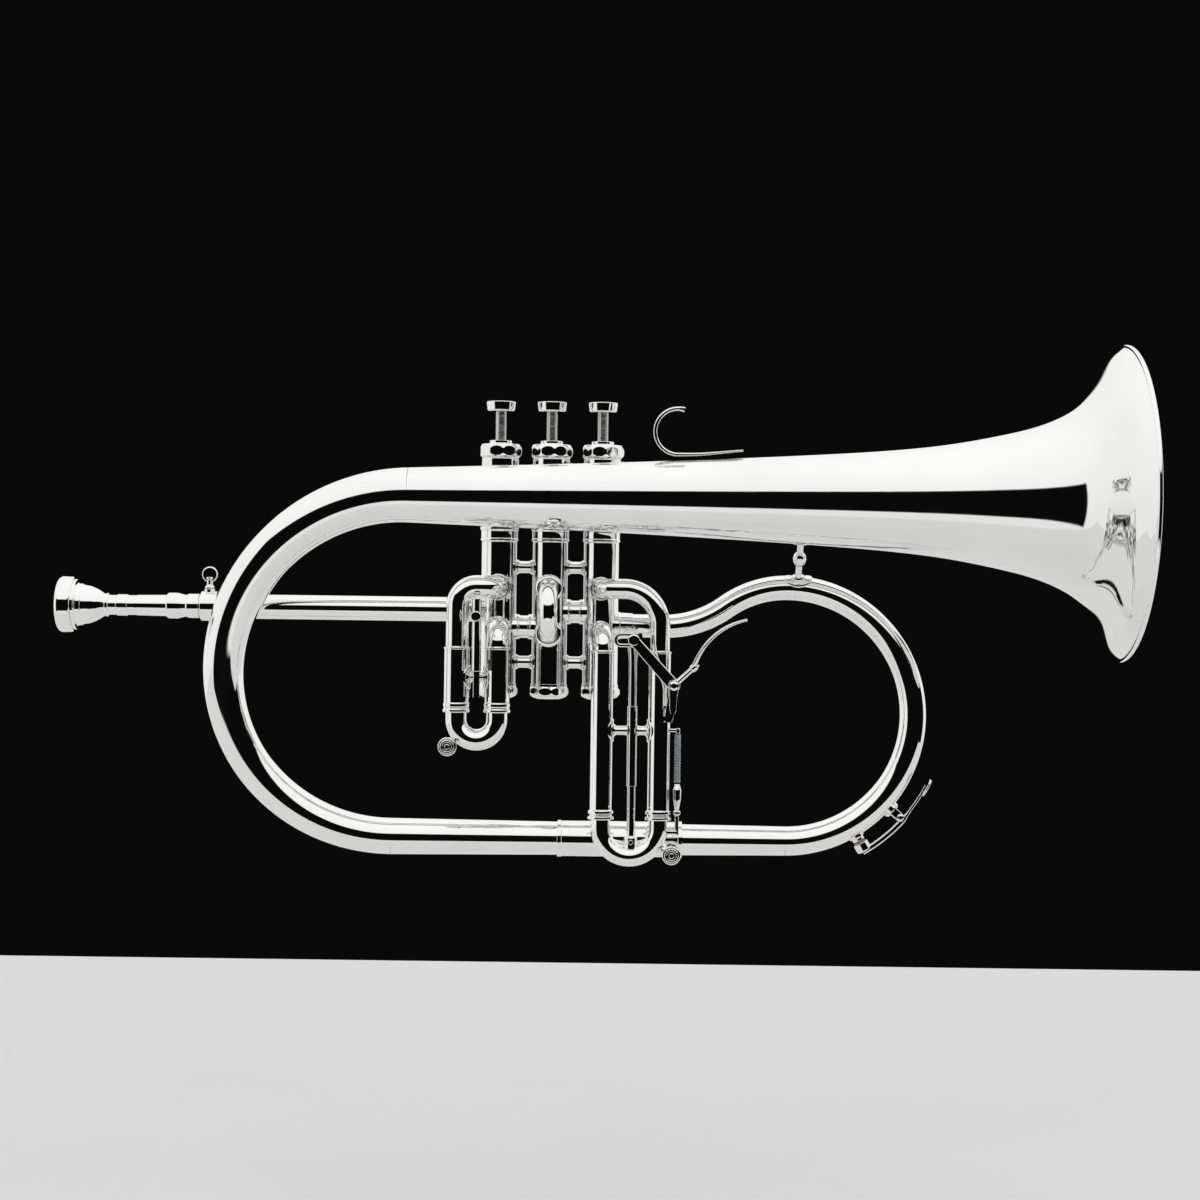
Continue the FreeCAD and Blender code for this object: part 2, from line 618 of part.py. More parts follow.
def push_rod():
    """The rod from the trigger to the crook, with a slotted head above and a boss below."""
    y = SLIDE_Y
    shaft = rod(V(ROD_X, y, -114.5), V(ROD_X, y, HEAD_Z - 2.5), ROD_R)
    front = block(V(31.4, HEAD_Y[0], HEAD_Z - 3.6), V(45.4, HEAD_Y[1], HEAD_Z + 3.6))
    slot = block(V(32.6, HEAD_Y[0] - 1, HEAD_Z - 1.9), V(42.9, HEAD_Y[1] + 1, HEAD_Z + 1.9))
    neck = block(V(38.4, HEAD_Y[1], HEAD_Z - 3.6), V(43.6, y + 1.6, HEAD_Z + 3.6))
    head = front.cut(slot).fuse(neck)
    boss = rod(V(ROD_X, y, -115.0), V(ROD_X, y, -108.5), 3.2)
    screw = rod(V(ROD_X, y - 3.9, -111.0), V(ROD_X, y, -111.0), 1.3)
    whole = joined([shaft, head, boss, screw])
    return whole.cut(crook_bar(THIRD_CROOK, THIRD_CROOK_R, THIRD_INNER_R))


def push_key_body(centre, crook_centre, crook_r, tube_r):
    """The barrel of a push-button water key, saddled on the crook by a short neck."""
    barrel = rod(V(centre.x, SLIDE_Y - 5.2, centre.z), V(centre.x, SLIDE_Y + 4.6, centre.z), 4.55)
    towards = (crook_centre - centre).normalize()
    neck = rod(centre, centre + towards * 6.5, 2.6)
    body = barrel.fuse(neck)
    body = body.cut(crook_bar(crook_centre, crook_r, tube_r))
    return body.cut(rod(V(centre.x, SLIDE_Y - 6, centre.z), V(centre.x, SLIDE_Y + 3.6, centre.z), 3.5))


def push_key_button(centre):
    """The button and plunger of a push-button water key."""
    button_front = rod(V(centre.x, SLIDE_Y - 6.6, centre.z), V(centre.x, SLIDE_Y - 1.0, centre.z), 3.42)
    plunger = rod(V(centre.x, SLIDE_Y - 1.0, centre.z), V(centre.x, SLIDE_Y + 1.2, centre.z), 2.2)
    return button_front.fuse(plunger)


FIRST_KEY = V(-47.9, SLIDE_Y, -66.0)
FIRST_CROOK_R = (FIRST_LEGS[1] - FIRST_LEGS[0]) / 2
FIRST_CROOK = V(FIRST_LEGS[0] + FIRST_CROOK_R, SLIDE_Y, FIRST_LOW_Z + FIRST_INNER_R + FIRST_CROOK_R)
THIRD_KEY = V(60.6, SLIDE_Y, -117.0)
THIRD_CROOK_R = (THIRD_LEGS[1] - THIRD_LEGS[0]) / 2
THIRD_CROOK = V(THIRD_LEGS[0] + THIRD_CROOK_R, SLIDE_Y, THIRD_LOW_Z + THIRD_INNER_R + THIRD_CROOK_R)


# ---------------------------------------------------------------- trigger

def trigger_bracket():
    """The fork on the third slide's right leg that carries the trigger."""
    x = PIVOT.x
    z = PIVOT.z
    strap = plate([(57.0, -53.0), (61.4, -53.0), (62.0, -44.0), (63.0, z), (58.2, z), (57.0, -44.0)],
                  -26.4, -18.5)
    rear = rod(V(x, -26.4, z), V(x, -24.9, z), 3.0)
    front = rod(V(x, -31.0, z), V(x, -29.6, z), 3.0)
    bridge = plate([(58.9, -49.0), (61.6, -49.0), (63.2, z - 1.0), (58.0, z - 1.0)], -31.0, -29.6)
    web = block(V(58.9, -31.0, -49.0), V(61.6, -26.4, -45.5))
    upper_room = block(V(56, -24.8, -43.0), V(66, -17.0, z + 6))
    fork = joined([strap.cut(upper_room), rear, front, bridge, web])
    leg = rod(V(THIRD_LEGS[1], SLIDE_Y, -60), V(THIRD_LEGS[1], SLIDE_Y, -20), THIRD_OUTER_R)
    return fork.cut(leg).cut(rod(V(x, -32, z), V(x, -24, z), 1.25))


def trigger_screw():
    """The pivot screw of the trigger."""
    x = PIVOT.x
    z = PIVOT.z
    return rod(V(x, -31.0, z), V(x, -24.9, z), 1.2).fuse(rod(V(x, -32.2, z), V(x, -31.05, z), 2.3))


def trigger_lever():
    """The trigger: a short arm to the push rod, a hub, and a curved finger arm with its paddle."""
    low, high = LEVER_Y
    hub = rod(V(PIVOT.x, low, PIVOT.z), V(PIVOT.x, high, PIVOT.z), 3.2)
    eye = rod(V(41.2, low, HEAD_Z), V(41.2, high, HEAD_Z), 2.9)
    short_arm = plate([(42.6, -11.4), (38.9, -15.4), (58.4, -37.3), (62.6, -33.2)], low, high)
    pin = rod(V(41.2, high, HEAD_Z), V(41.2, HEAD_Y[1] - 0.4, HEAD_Z), PIN_R)
    long_arm = rod(V(PIVOT.x, -28.0, PIVOT.z), V(71.0, -28.0, -25.4), 1.2)
    collar = rod(V(69.0, -28.0, -27.3), V(71.6, -28.0, -24.8), 1.9)
    centre = V(102.0, 0, -36.0)
    paddle = sector(centre, 32.6, 34.4, (101.5, 161.0), -33.5, -22.5)
    hole = rod(V(PIVOT.x, low - 1, PIVOT.z), V(PIVOT.x, high + 1, PIVOT.z), 1.25)
    return joined([hub, eye, short_arm, pin, long_arm, collar, paddle]).cut(hole)


def spring_anchor():
    """The small lug on the third slide's right leg that holds the top of the return spring."""
    x = SPRING_X
    lug = block(V(THIRD_LEGS[1], SLIDE_Y - 1.1, -58.2), V(x, SLIDE_Y + 1.1, -55.8))
    post = rod(V(x, SLIDE_Y, SPRING_Z[1] + 0.3), V(x, SLIDE_Y, -55.8), 1.1)
    leg = rod(V(THIRD_LEGS[1], SLIDE_Y, -70), V(THIRD_LEGS[1], SLIDE_Y, -50), THIRD_OUTER_R)
    return lug.fuse(post).cut(leg)


def spring_hook():
    """The tapered hook under the return spring, with a foot that joins it to the crook."""
    x = SPRING_X
    low = -107.5
    top = SPRING_Z[0] - 0.3
    length = top - low
    leaf = lathe([(0, 0), (0, 1.0), (9.5, 1.0), (10.0, 1.8), (11.4, 1.8), (11.9, 1.1), (17.0, 2.0),
                  (length - 3, 2.1), (length, 1.3), (length, 0)], V(x, SLIDE_Y, low), V(0, 0, 1))
    foot = block(V(THIRD_LEGS[1], SLIDE_Y - 1.2, low), V(x, SLIDE_Y + 1.2, low + 2.4))
    leg = rod(V(THIRD_LEGS[1], SLIDE_Y, -125), V(THIRD_LEGS[1], SLIDE_Y, -60), THIRD_INNER_R)
    bend = crook_bar(THIRD_CROOK, THIRD_CROOK_R, THIRD_INNER_R)
    return leaf.fuse(foot).cut(bend).cut(leg)


def return_spring():
    """The envelope of the coil spring that pulls the third slide home."""
    return pipe(V(SPRING_X, SLIDE_Y, SPRING_Z[0]), V(SPRING_X, SLIDE_Y, SPRING_Z[1]), SPRING_R, 0.8)


# ---------------------------------------------------------------- lever water key

def around_bow(angle, radius, y=0.0):
    """The point at an angle and distance from the centre of the right bow."""
    turn = math.radians(angle)
    return V(BOW_CENTRE.x + radius * math.cos(turn), y, BOW_CENTRE.z + radius * math.sin(turn))


KEY_PIVOT = around_bow(KEY_PIVOT_ANGLE, KEY_PIVOT_R)


def bow_tube():
    """The right bow with its bore filled, for cutting seats that fit it."""
    return tapered_arc(BOW_CENTRE, V(0, 0, RIGHT_BOW_R), V(RIGHT_BOW_R, 0, 0), (0, 180),
                       (RIGHT_BOW_TOP_R, RIGHT_BOW_BOTTOM_R), None, 17)


def key_nipple():
    """The drain nipple that the cork closes."""
    nipple = pipe(around_bow(KEY_CORK_ANGLE, 66.0), around_bow(KEY_CORK_ANGLE, 71.8), 3.0, 1.6)
    return nipple.cut(bow_tube())


def key_saddle():
    """The forked post on the bow that holds the key's pin."""
    foot = rod(around_bow(KEY_PIVOT_ANGLE, 66.0), around_bow(KEY_PIVOT_ANGLE, 71.0), 3.6)
    ears = []
    for y in (-3.9, 2.7):
        ear = rod(V(KEY_PIVOT.x, y, KEY_PIVOT.z), V(KEY_PIVOT.x, y + 1.2, KEY_PIVOT.z), 2.2)
        low = around_bow(KEY_PIVOT_ANGLE, 69.8)
        across = (around_bow(KEY_PIVOT_ANGLE + 90, 100) - around_bow(KEY_PIVOT_ANGLE + 90, 98)).normalize()
        side = across * 2.0
        corners = [low + side, KEY_PIVOT + side, KEY_PIVOT - side, low - side]
        web = plate([(c.x, c.z) for c in corners], y, y + 1.2)
        ears += [ear, web]
    base = rod(around_bow(KEY_PIVOT_ANGLE, 69.8), around_bow(KEY_PIVOT_ANGLE, 71.2), 4.2)
    saddle = joined([foot, base] + ears).cut(bow_tube())
    return saddle.cut(rod(KEY_PIVOT + V(0, -5, 0), KEY_PIVOT + V(0, 5, 0), 0.9))


def key_pin():
    """The screw that the water key turns on."""
    shaft = rod(KEY_PIVOT + V(0, -3.9, 0), KEY_PIVOT + V(0, 3.9, 0), 0.85)
    return shaft.fuse(rod(KEY_PIVOT + V(0, -4.7, 0), KEY_PIVOT + V(0, -3.95, 0), 1.7))


def key_lever():
    """The water key: a curved arm with a finger pad at one end and the cork cup at the other."""
    arm = sector(BOW_CENTRE, 76.0, 78.8, (KEY_CORK_ANGLE - 1, KEY_PIVOT_ANGLE + 2), -2.0, 2.0)
    tail = sector(BOW_CENTRE, 76.3, 77.9, (KEY_PIVOT_ANGLE, KEY_TIP_ANGLE - 3), -1.5, 1.5)
    pad = sector(BOW_CENTRE, 77.2, 78.9, (-30.0, KEY_TIP_ANGLE), -4.0, 4.0)
    hub = rod(KEY_PIVOT + V(0, -2.3, 0), KEY_PIVOT + V(0, 2.3, 0), 2.0)
    cup = pipe(around_bow(KEY_CORK_ANGLE, 72.9), around_bow(KEY_CORK_ANGLE, 77.2), 3.8, 3.0)
    lid = rod(around_bow(KEY_CORK_ANGLE, 75.6), around_bow(KEY_CORK_ANGLE, 77.6), 3.8)
    lever = joined([arm, tail, pad, hub, cup, lid])
    return lever.cut(rod(KEY_PIVOT + V(0, -3, 0), KEY_PIVOT + V(0, 3, 0), 0.9))


def key_cork():
    """The cork in the key's cup, a little off the nipple."""
    return rod(around_bow(KEY_CORK_ANGLE, 72.1), around_bow(KEY_CORK_ANGLE, 75.55), 2.95)


# ---------------------------------------------------------------- fittings

def finger_hook():
    """The little-finger hook on top of the bell: a curled strip with a long foot."""
    centre = V(61.1, 0, 86.6)
    curl = sector(centre, 9.8, 12.2, (80, 272), -4.0, 4.0)
    foot = plate([(61.1, 74.4), (92.7, 76.9), (92.7, 78.4), (61.1, 76.8)], -4.0, 4.0)
    tip = rod(V(62.95, -4.0, 97.4), V(62.95, 4.0, 97.4), 1.35)
    hook = joined([curl, foot, tip])
    hook.translate(V(0, BELL_Y, 0))
    return hook.cut(bell_solid())


def bell_solid():
    """The bell's slow cone with its bore filled, for cutting seats that fit it."""
    outline = [(0, 0), (0, LEFT_BOW_TOP_R), (43 - BELL_START_X, 17.65), (130 - BELL_START_X, 22.25),
               (130 - BELL_START_X, 0)]
    return lathe(outline, V(BELL_START_X, BELL_Y, BELL_Z), V(1, 0, 0))


def bell_stay():
    """The slanted stay from the bell to the right bow, with a ball in the middle and two feet."""
    x = 121.8
    bow_axis = V(x, 0, 12.0)
    bell_axis = V(x, BELL_Y, BELL_Z)
    towards = (bow_axis - bell_axis).normalize()
    upper = bell_axis + towards * 21.0
    lower = bow_axis - towards * 5.8
    shaft = rod(upper, lower, 1.65)
    middle = (upper + lower) * 0.5
    ball = Part.makeSphere(3.4, middle)
    feet = [rod(upper, upper + towards * 2.0, 5.0), rod(lower - towards * 1.8, lower, 6.2)]
    stay = joined([shaft, ball] + feet)
    return stay.cut(bell_solid()).cut(bow_tube()).cut(branch_arcs(None)[1])


def lyre_holder():
    """The open tube for a music lyre, held in front of the first slide's brace by a tab."""
    tube = pipe(V(LYRE_X, LYRE_Y, -29.5), V(LYRE_X, LYRE_Y, 5.5), 2.3, LYRE_BORE)
    tab = block(V(LYRE_X - 1.6, LYRE_Y + 2.0, -42.0), V(LYRE_X + 1.6, LYRE_Y + 4.0, -24.0))
    lug = rod(V(LYRE_X, LYRE_Y - 4.0, LYRE_SCREW_Z), V(LYRE_X, LYRE_Y - 1.8, LYRE_SCREW_Z), 1.8)
    hole = rod(V(LYRE_X, LYRE_Y - 5, LYRE_SCREW_Z), V(LYRE_X, LYRE_Y - 1, LYRE_SCREW_Z), 0.95)
    brace = rod(V(LYRE_X - 9, SLIDE_Y, -32.5), V(LYRE_X + 9, SLIDE_Y, -32.5), 2.6)
    link = block(V(LYRE_X - 1.6, LYRE_Y + 3.0, -34.5), V(LYRE_X + 1.6, SLIDE_Y, -30.5))
    return joined([tube, tab, lug, link]).cut(hole).cut(brace)


def lyre_screw():
    """The small knurled screw that grips the lyre."""
    shank = rod(V(LYRE_X, LYRE_Y - 7.0, LYRE_SCREW_Z), V(LYRE_X, LYRE_Y - 1.6, LYRE_SCREW_Z), 0.9)
    head = rod(V(LYRE_X, LYRE_Y - 8.6, LYRE_SCREW_Z), V(LYRE_X, LYRE_Y - 5.6, LYRE_SCREW_Z), 2.6)
    return shank.fuse(head)


# ---------------------------------------------------------------- write every node

LEFT, RIGHT, FRONT = V(-1, 0, 0), V(1, 0, 0), V(0, -1, 0)
VALVE_PORTS = (
    ((LEFT, LEAD_Z), (RIGHT, LINK_12_Z), (FRONT, FIRST_PORTS[0]), (FRONT, FIRST_PORTS[1])),
    ((LEFT, LINK_12_Z), (RIGHT, LINK_23_Z), (FRONT, SECOND_PORT_Z), (FRONT, -SECOND_PORT_Z)),
    ((LEFT, LINK_23_Z), (RIGHT, EXIT_Z), (FRONT, THIRD_PORTS[0]), (FRONT, THIRD_PORTS[1])),
)

save("bell", bell())
save("bell_bow", bell_bow())
save("bottom_tube", bottom_tube())
save("bottom_sleeve", bottom_sleeve())
save("lower_bow", lower_bow())
save("exit_branch", exit_branch())
save("exit_ferrule", exit_ferrule())

for number, (x, ports) in enumerate(zip(VALVES, VALVE_PORTS), 1):
    inlet, outlet, slide_top, slide_low = ports
    rest = (inlet, outlet)
    pressed = [((inlet[0], inlet[1] + STROKE), (FRONT, slide_top[1] + STROKE)),
               ((FRONT, slide_low[1] + STROKE), (outlet[0], outlet[1] + STROKE))]
    save("casing_%d" % number, casing(x, ports))
    save("piston_%d" % number, piston(x, rest, pressed))
    save("stem_%d" % number, stem(x))
    save("button_%d" % number, button(x))
    save("valve_spring_%d" % number, valve_spring(x))

save("top_caps", Part.makeCompound([top_cap(x) for x in VALVES]))
save("bottom_caps", Part.makeCompound([bottom_cap(x) for x in VALVES]))
save("valve_guides", Part.makeCompound([valve_guide(x) for x in VALVES]))
save("link_tubes", Part.makeCompound([link_tube(-PITCH, LINK_12_Z), link_tube(0, LINK_23_Z)]))
save("casing_braces", Part.makeCompound([casing_brace(x, z) for x in (-PITCH, 0) for z in (21.2, -25.4)]))

save("leadpipe", leadpipe())
save("mouthpipe", mouthpipe())
save("receiver", receiver())
save("clamp_collar", clamp_collar())
save("clamp_screw", clamp_screw())
save("mouthpiece", mouthpiece())

save("first_slide_outer", first_slide_outer())
save("first_slide", first_slide())
save("slide_braces", slide_braces())
save("first_key_body", push_key_body(FIRST_KEY, FIRST_CROOK, FIRST_CROOK_R, FIRST_INNER_R))
save("first_key_button", push_key_button(FIRST_KEY))
save("lyre_holder", lyre_holder())
save("lyre_screw", lyre_screw())
save("second_slide_outer", second_slide_outer())
save("second_slide", second_slide())
save("third_slide_outer", third_slide_outer())
save("third_slide", third_slide())
save("push_rod_guide", push_rod_guide())
save("push_rod", push_rod())
save("third_key_body", push_key_body(THIRD_KEY, THIRD_CROOK, THIRD_CROOK_R, THIRD_INNER_R))
save("third_key_button", push_key_button(THIRD_KEY))
save("trigger_bracket", trigger_bracket())
save("pivot_screws", Part.makeCompound([trigger_screw(), key_pin()]))
save("trigger_lever", trigger_lever())
save("spring_anchor", spring_anchor())
save("spring_hook", spring_hook())
save("return_spring", return_spring())

save("key_nipple", key_nipple())
save("key_saddle", key_saddle())
save("key_lever", key_lever())
save("key_cork", key_cork())
save("finger_hook", finger_hook())
save("bell_stay", bell_stay())
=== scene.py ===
# %% [markdown]
# # A flugelhorn in polished silver plate
# This lesson builds the looks of a flugelhorn around a finished CAD model. The CAD model, called
# the frame, gives every place and size. Each visible piece is made again here as a smooth surface
# worked out with numpy, because a mirror finish shows every facet of a coarse mesh.

# %% Load the frame
import math
import bpy
import numpy as np
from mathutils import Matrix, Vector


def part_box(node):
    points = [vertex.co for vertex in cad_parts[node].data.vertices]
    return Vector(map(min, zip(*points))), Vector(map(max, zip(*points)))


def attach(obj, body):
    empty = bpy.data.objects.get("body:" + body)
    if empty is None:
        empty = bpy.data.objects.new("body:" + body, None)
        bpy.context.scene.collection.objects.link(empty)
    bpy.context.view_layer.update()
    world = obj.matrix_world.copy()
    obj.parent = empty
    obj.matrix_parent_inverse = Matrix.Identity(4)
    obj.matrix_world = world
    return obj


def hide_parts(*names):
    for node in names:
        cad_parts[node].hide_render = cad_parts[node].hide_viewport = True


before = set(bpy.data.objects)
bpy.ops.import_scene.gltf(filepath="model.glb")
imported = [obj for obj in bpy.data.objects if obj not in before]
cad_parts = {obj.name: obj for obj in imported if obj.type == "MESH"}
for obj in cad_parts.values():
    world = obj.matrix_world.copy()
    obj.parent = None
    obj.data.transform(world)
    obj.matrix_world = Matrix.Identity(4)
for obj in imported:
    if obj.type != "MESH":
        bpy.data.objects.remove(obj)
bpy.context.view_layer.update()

MM = 0.001

# %% [markdown]
# ## Reading places from the frame
# All shapes below are written in millimetres. A node's box gives its lowest and highest corners,
# so the axes and radii of round pieces come from there, and nothing is fitted by eye.

# %% Boxes in millimetres


def span(node):
    """The lowest and highest corners of a CAD node, in millimetres."""
    low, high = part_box(node)
    return np.array(low[:]) / MM, np.array(high[:]) / MM


def middle(node):
    """The centre of a CAD node's box, in millimetres."""
    low, high = span(node)
    return (low + high) / 2


print("the bell's axis is at y, z:", middle("bell")[1:].round(2))

# %% [markdown]
# ## From a grid of points to a closed mesh
# Every piece here is a grid: rows run along the piece and columns run round it. The columns always
# close on themselves. The rows either close too, as on a pipe wall that folds back inside itself,
# or each end is shut with a fan. The signed volume tells whether the faces point outwards.

# %% Grids, fans and volumes


def shell(rows, ring=False):
    """Points and faces of a closed surface.

    rows has the shape (rows, columns, 3). Each face joins a point to its neighbour round the column
    and along the row. If the sum of the corner triple products is negative, the faces are reversed.
    """
    count, around = rows.shape[:2]
    index = np.arange(count * around).reshape(count, around)
    beside = np.roll(index, -1, axis=1)
    if ring:
        quads = np.stack([index, beside, np.roll(beside, -1, 0), np.roll(index, -1, 0)], -1)
    else:
        quads = np.stack([index[:-1], beside[:-1], beside[1:], index[1:]], -1)
    quads = quads.reshape(-1, 4)
    points = rows.reshape(-1, 3)
    fans = np.zeros((0, 3), int)
    if not ring:
        ends = np.stack([rows[0].mean(0), rows[-1].mean(0)])
        first, last = len(points), len(points) + 1
        points = np.concatenate([points, ends])
        start = np.stack([np.full(around, first), beside[0], index[0]], -1)
        finish = np.stack([np.full(around, last), index[-1], beside[-1]], -1)
        fans = np.concatenate([start, finish])
    corners = np.concatenate([quads[:, :3], quads[:, [0, 2, 3]], fans])
    a, b, c = (points[corners[:, k]] for k in range(3))
    if (np.cross(a, b) * c).sum() < 0:
        quads, fans = quads[:, ::-1], fans[:, ::-1]
    return points, quads.tolist() + fans.tolist()


def piece(name, *shells):
    """One object from one or more closed surfaces, smooth except at edges sharper than 38 degrees."""
    points, faces, total = [], [], 0
    for spots, sides in shells:
        points.append(spots)
        faces += [[corner + total for corner in side] for side in sides]
        total += len(spots)
    mesh = bpy.data.meshes.new(name)
    mesh.from_pydata(np.concatenate(points) * MM, [], faces)
    mesh.shade_smooth()
    mesh.set_sharp_from_angle(angle=math.radians(38))
    made = bpy.data.objects.new(name, mesh)
    bpy.context.scene.collection.objects.link(made)
    return made


# %% [markdown]
# ## Outlines with soft corners
# Real metal has no perfectly sharp edge: a turned ring catches a thin line of light on its edge.
# Each corner of an outline is replaced by a short curve, with a guard point on either side so that
# the flats next to it stay flat in the reflections.

# %% Soft outlines and smooth curves


def soften(outline, fillet=0.3, steps=4, closed=True):
    """Round the corners of an outline.

    A corner P between A and C becomes the curve (1-t)^2 A + 2t(1-t) P + t^2 C, where A and C lie
    a fillet's length along the two sides, or 0.42 of a side that is short.
    """
    spots = np.asarray(outline, float)
    back = np.roll(spots, 1, 0) - spots
    ahead = np.roll(spots, -1, 0) - spots
    back_length = np.linalg.norm(back, axis=1, keepdims=True)
    ahead_length = np.linalg.norm(ahead, axis=1, keepdims=True)
    cut = np.minimum(fillet, 0.42 * np.minimum(back_length, ahead_length))
    back, ahead = back / back_length * cut, ahead / ahead_length * cut
    t = np.linspace(0, 1, steps + 1)[None, :, None]
    corner, start, end = spots[:, None], (spots + back)[:, None], (spots + ahead)[:, None]
    curve = (1 - t) ** 2 * start + 2 * t * (1 - t) * corner + t ** 2 * end
    guards = (spots + back * 1.15)[:, None], (spots + ahead * 1.15)[:, None]
    rounded = np.concatenate([guards[0], curve, guards[1]], 1)
    if closed:
        return rounded.reshape(-1, 2)
    inner = rounded[1:-1].reshape(-1, 2)
    return np.concatenate([spots[:1], inner, spots[-1:]])


def through(knots, count):
    """A smooth curve through the knots: cubic pieces whose slope and bend match where they meet.

    The curve is worked out over the distance between knots, with no bend at its two ends.
    """
    knots = np.asarray(knots, float)
    gaps = np.linalg.norm(np.diff(knots, axis=0), axis=1)
    places = np.concatenate([[0], np.cumsum(gaps)])
    size = len(knots)
    system = np.eye(size)
    right = np.zeros_like(knots)
    inside = np.arange(1, size - 1)
    system[inside, inside - 1] = gaps[:-1]
    system[inside, inside] = 2 * (gaps[:-1] + gaps[1:])
    system[inside, inside + 1] = gaps[1:]
    slopes = np.diff(knots, axis=0) / gaps[:, None]
    right[inside] = 6 * np.diff(slopes, axis=0)
    bends = np.linalg.solve(system, right)
    where = np.linspace(0, places[-1], count)
    k = np.clip(np.searchsorted(places, where, "right") - 1, 0, size - 2)
    h = gaps[k][:, None]
    left = (places[k + 1] - where)[:, None]
    done = (where - places[k])[:, None]
    return (bends[k] * left ** 3 / (6 * h) + bends[k + 1] * done ** 3 / (6 * h)
            + (knots[k] / h - bends[k] * h / 6) * left + (knots[k + 1] / h - bends[k + 1] * h / 6) * done)


# %% [markdown]
# ## The three ways a horn maker makes a part
# Nearly every part of a brass instrument is turned on a lathe, drawn and bent as a tube, or cut
# from strip. So three functions make nearly everything here: one carries an outline round an axis,
# one carries a section along a path, and one makes the path itself from straight runs and arcs.

# %% Turning, drawing and bending


def unit(v):
    """The same direction with length one."""
    v = np.asarray(v, float)
    return v / np.linalg.norm(v, axis=-1, keepdims=True)


def turned(outline, origin, along, around=72, form=None):
    """Carry an outline of (distance, radius) round an axis, like work in a lathe.

    A point is origin + distance * along + radius * (cos(angle) * one side + sin(angle) * the other).
    form may change the radius by distance and angle, as for flutes.
    """
    distance, radius = np.asarray(outline, float).T
    along = unit(along)
    helper = np.array([0, 0, 1.0]) if abs(along[2]) < 0.9 else np.array([1.0, 0, 0])
    one = unit(np.cross(helper, along))
    other = np.cross(along, one)
    angle = np.linspace(0, 2 * np.pi, around, endpoint=False)
    radius = np.repeat(radius[:, None], around, 1)
    if form:
        radius = form(distance[:, None], radius, angle[None, :])
    across = np.cos(angle)[:, None] * one + np.sin(angle)[:, None] * other
    return np.asarray(origin, float) + distance[:, None, None] * along + radius[..., None] * across


def ring_of(outline, origin, along, around=72, form=None, fillet=0.3):
    """A turned part with a hole through it: its outline is a closed loop."""
    return shell(turned(soften(outline, fillet), origin, along, around, form), ring=True)


def bar_of(outline, origin, along, around=72, form=None, fillet=0.3):
    """A solid turned part: its outline runs from the axis out and back to the axis."""
    soft = soften(outline, fillet, closed=False)[1:-1]
    return shell(turned(soft, origin, along, around, form))


def swept(path, wide, thick=None, squareness=2.0, facing=(0, 1, 0), around=48):
    """Carry a section along a path.

    Where the path runs along h, the section's sides are s, the part of facing square to h, and
    h x s. The section is a superellipse: |a / wide|^n + |b / thick|^n = 1, round when n is 2.
    """
    path = np.asarray(path, float)
    heading = unit(np.gradient(path, axis=0))
    facing = np.asarray(facing, float)
    side = unit(facing - (heading @ facing)[:, None] * heading)
    up = np.cross(heading, side)
    angle = np.linspace(0, 2 * np.pi, around, endpoint=False)
    power = 2.0 / squareness
    a = np.sign(np.cos(angle)) * np.abs(np.cos(angle)) ** power
    b = np.sign(np.sin(angle)) * np.abs(np.sin(angle)) ** power
    wide = np.broadcast_to(wide, len(path))[:, None, None]
    thick = wide if thick is None else np.broadcast_to(thick, len(path))[:, None, None]
    return path[:, None] + wide * a[None, :, None] * side[:, None] + thick * b[None, :, None] * up[:, None]


def tube(path, outer, wall=0.6, facing=(0, 1, 0), around=64):
    """A hollow tube: the outside of the wall one way along the path, the inside back again."""
    outside = swept(path, outer, facing=facing, around=around)
    inside = swept(path, np.asarray(outer) - wall, facing=facing, around=around)
    return shell(np.concatenate([outside, inside[::-1]]), ring=True)


def route(corners, bend, step=3.0):
    """Straight runs through the corners, with a tangent arc at each.

    bend is one radius for every corner, or a list with one for each.

    An arc is centre - bend * (cos(a) * inward + sin(a) * ahead), in equal steps of a.
    """
    corners = np.asarray(corners, float)
    spots = [corners[:1]]
    bends = np.broadcast_to(bend, len(corners) - 2)
    for before, corner, after, bend in zip(corners, corners[1:], corners[2:], bends):
        back, ahead = unit(before - corner), unit(after - corner)
        half = math.acos(np.clip(back @ ahead, -1, 1)) / 2
        centre = corner + unit(back + ahead) * bend / math.sin(half)
        turn = math.pi - 2 * half
        start = corner + back * bend / math.tan(half)
        inward = unit(start - centre)
        a = np.linspace(0, turn, max(4, int(math.degrees(turn) / step)))[:, None]
        spots.append(centre + bend * (np.cos(a) * inward - np.sin(a) * back))
    spots.append(corners[-1:])
    return np.concatenate(spots)


def arc(centre, outward, ahead, start, end, count):
    """Points of a circle: centre + cos(a) * outward + sin(a) * |outward| * ahead, a in degrees."""
    a = np.radians(np.linspace(start, end, count))[:, None]
    outward = np.asarray(outward, float)
    return np.asarray(centre) + np.cos(a) * outward + np.sin(a) * np.linalg.norm(outward) * unit(ahead)


def straight(a, b, count=2):
    """Points from a to b."""
    return np.linspace(np.asarray(a, float), np.asarray(b, float), count)


X, Y, Z = np.eye(3)

# %% [markdown]
# ## A small language for materials
# A shader is a sum of simple steps. Instead of wiring nodes one by one, a small class stands for
# one socket, so that a formula such as 0.04 + 0.06 * smudges adds the Math nodes it needs.

# %% Sockets that can be added and multiplied


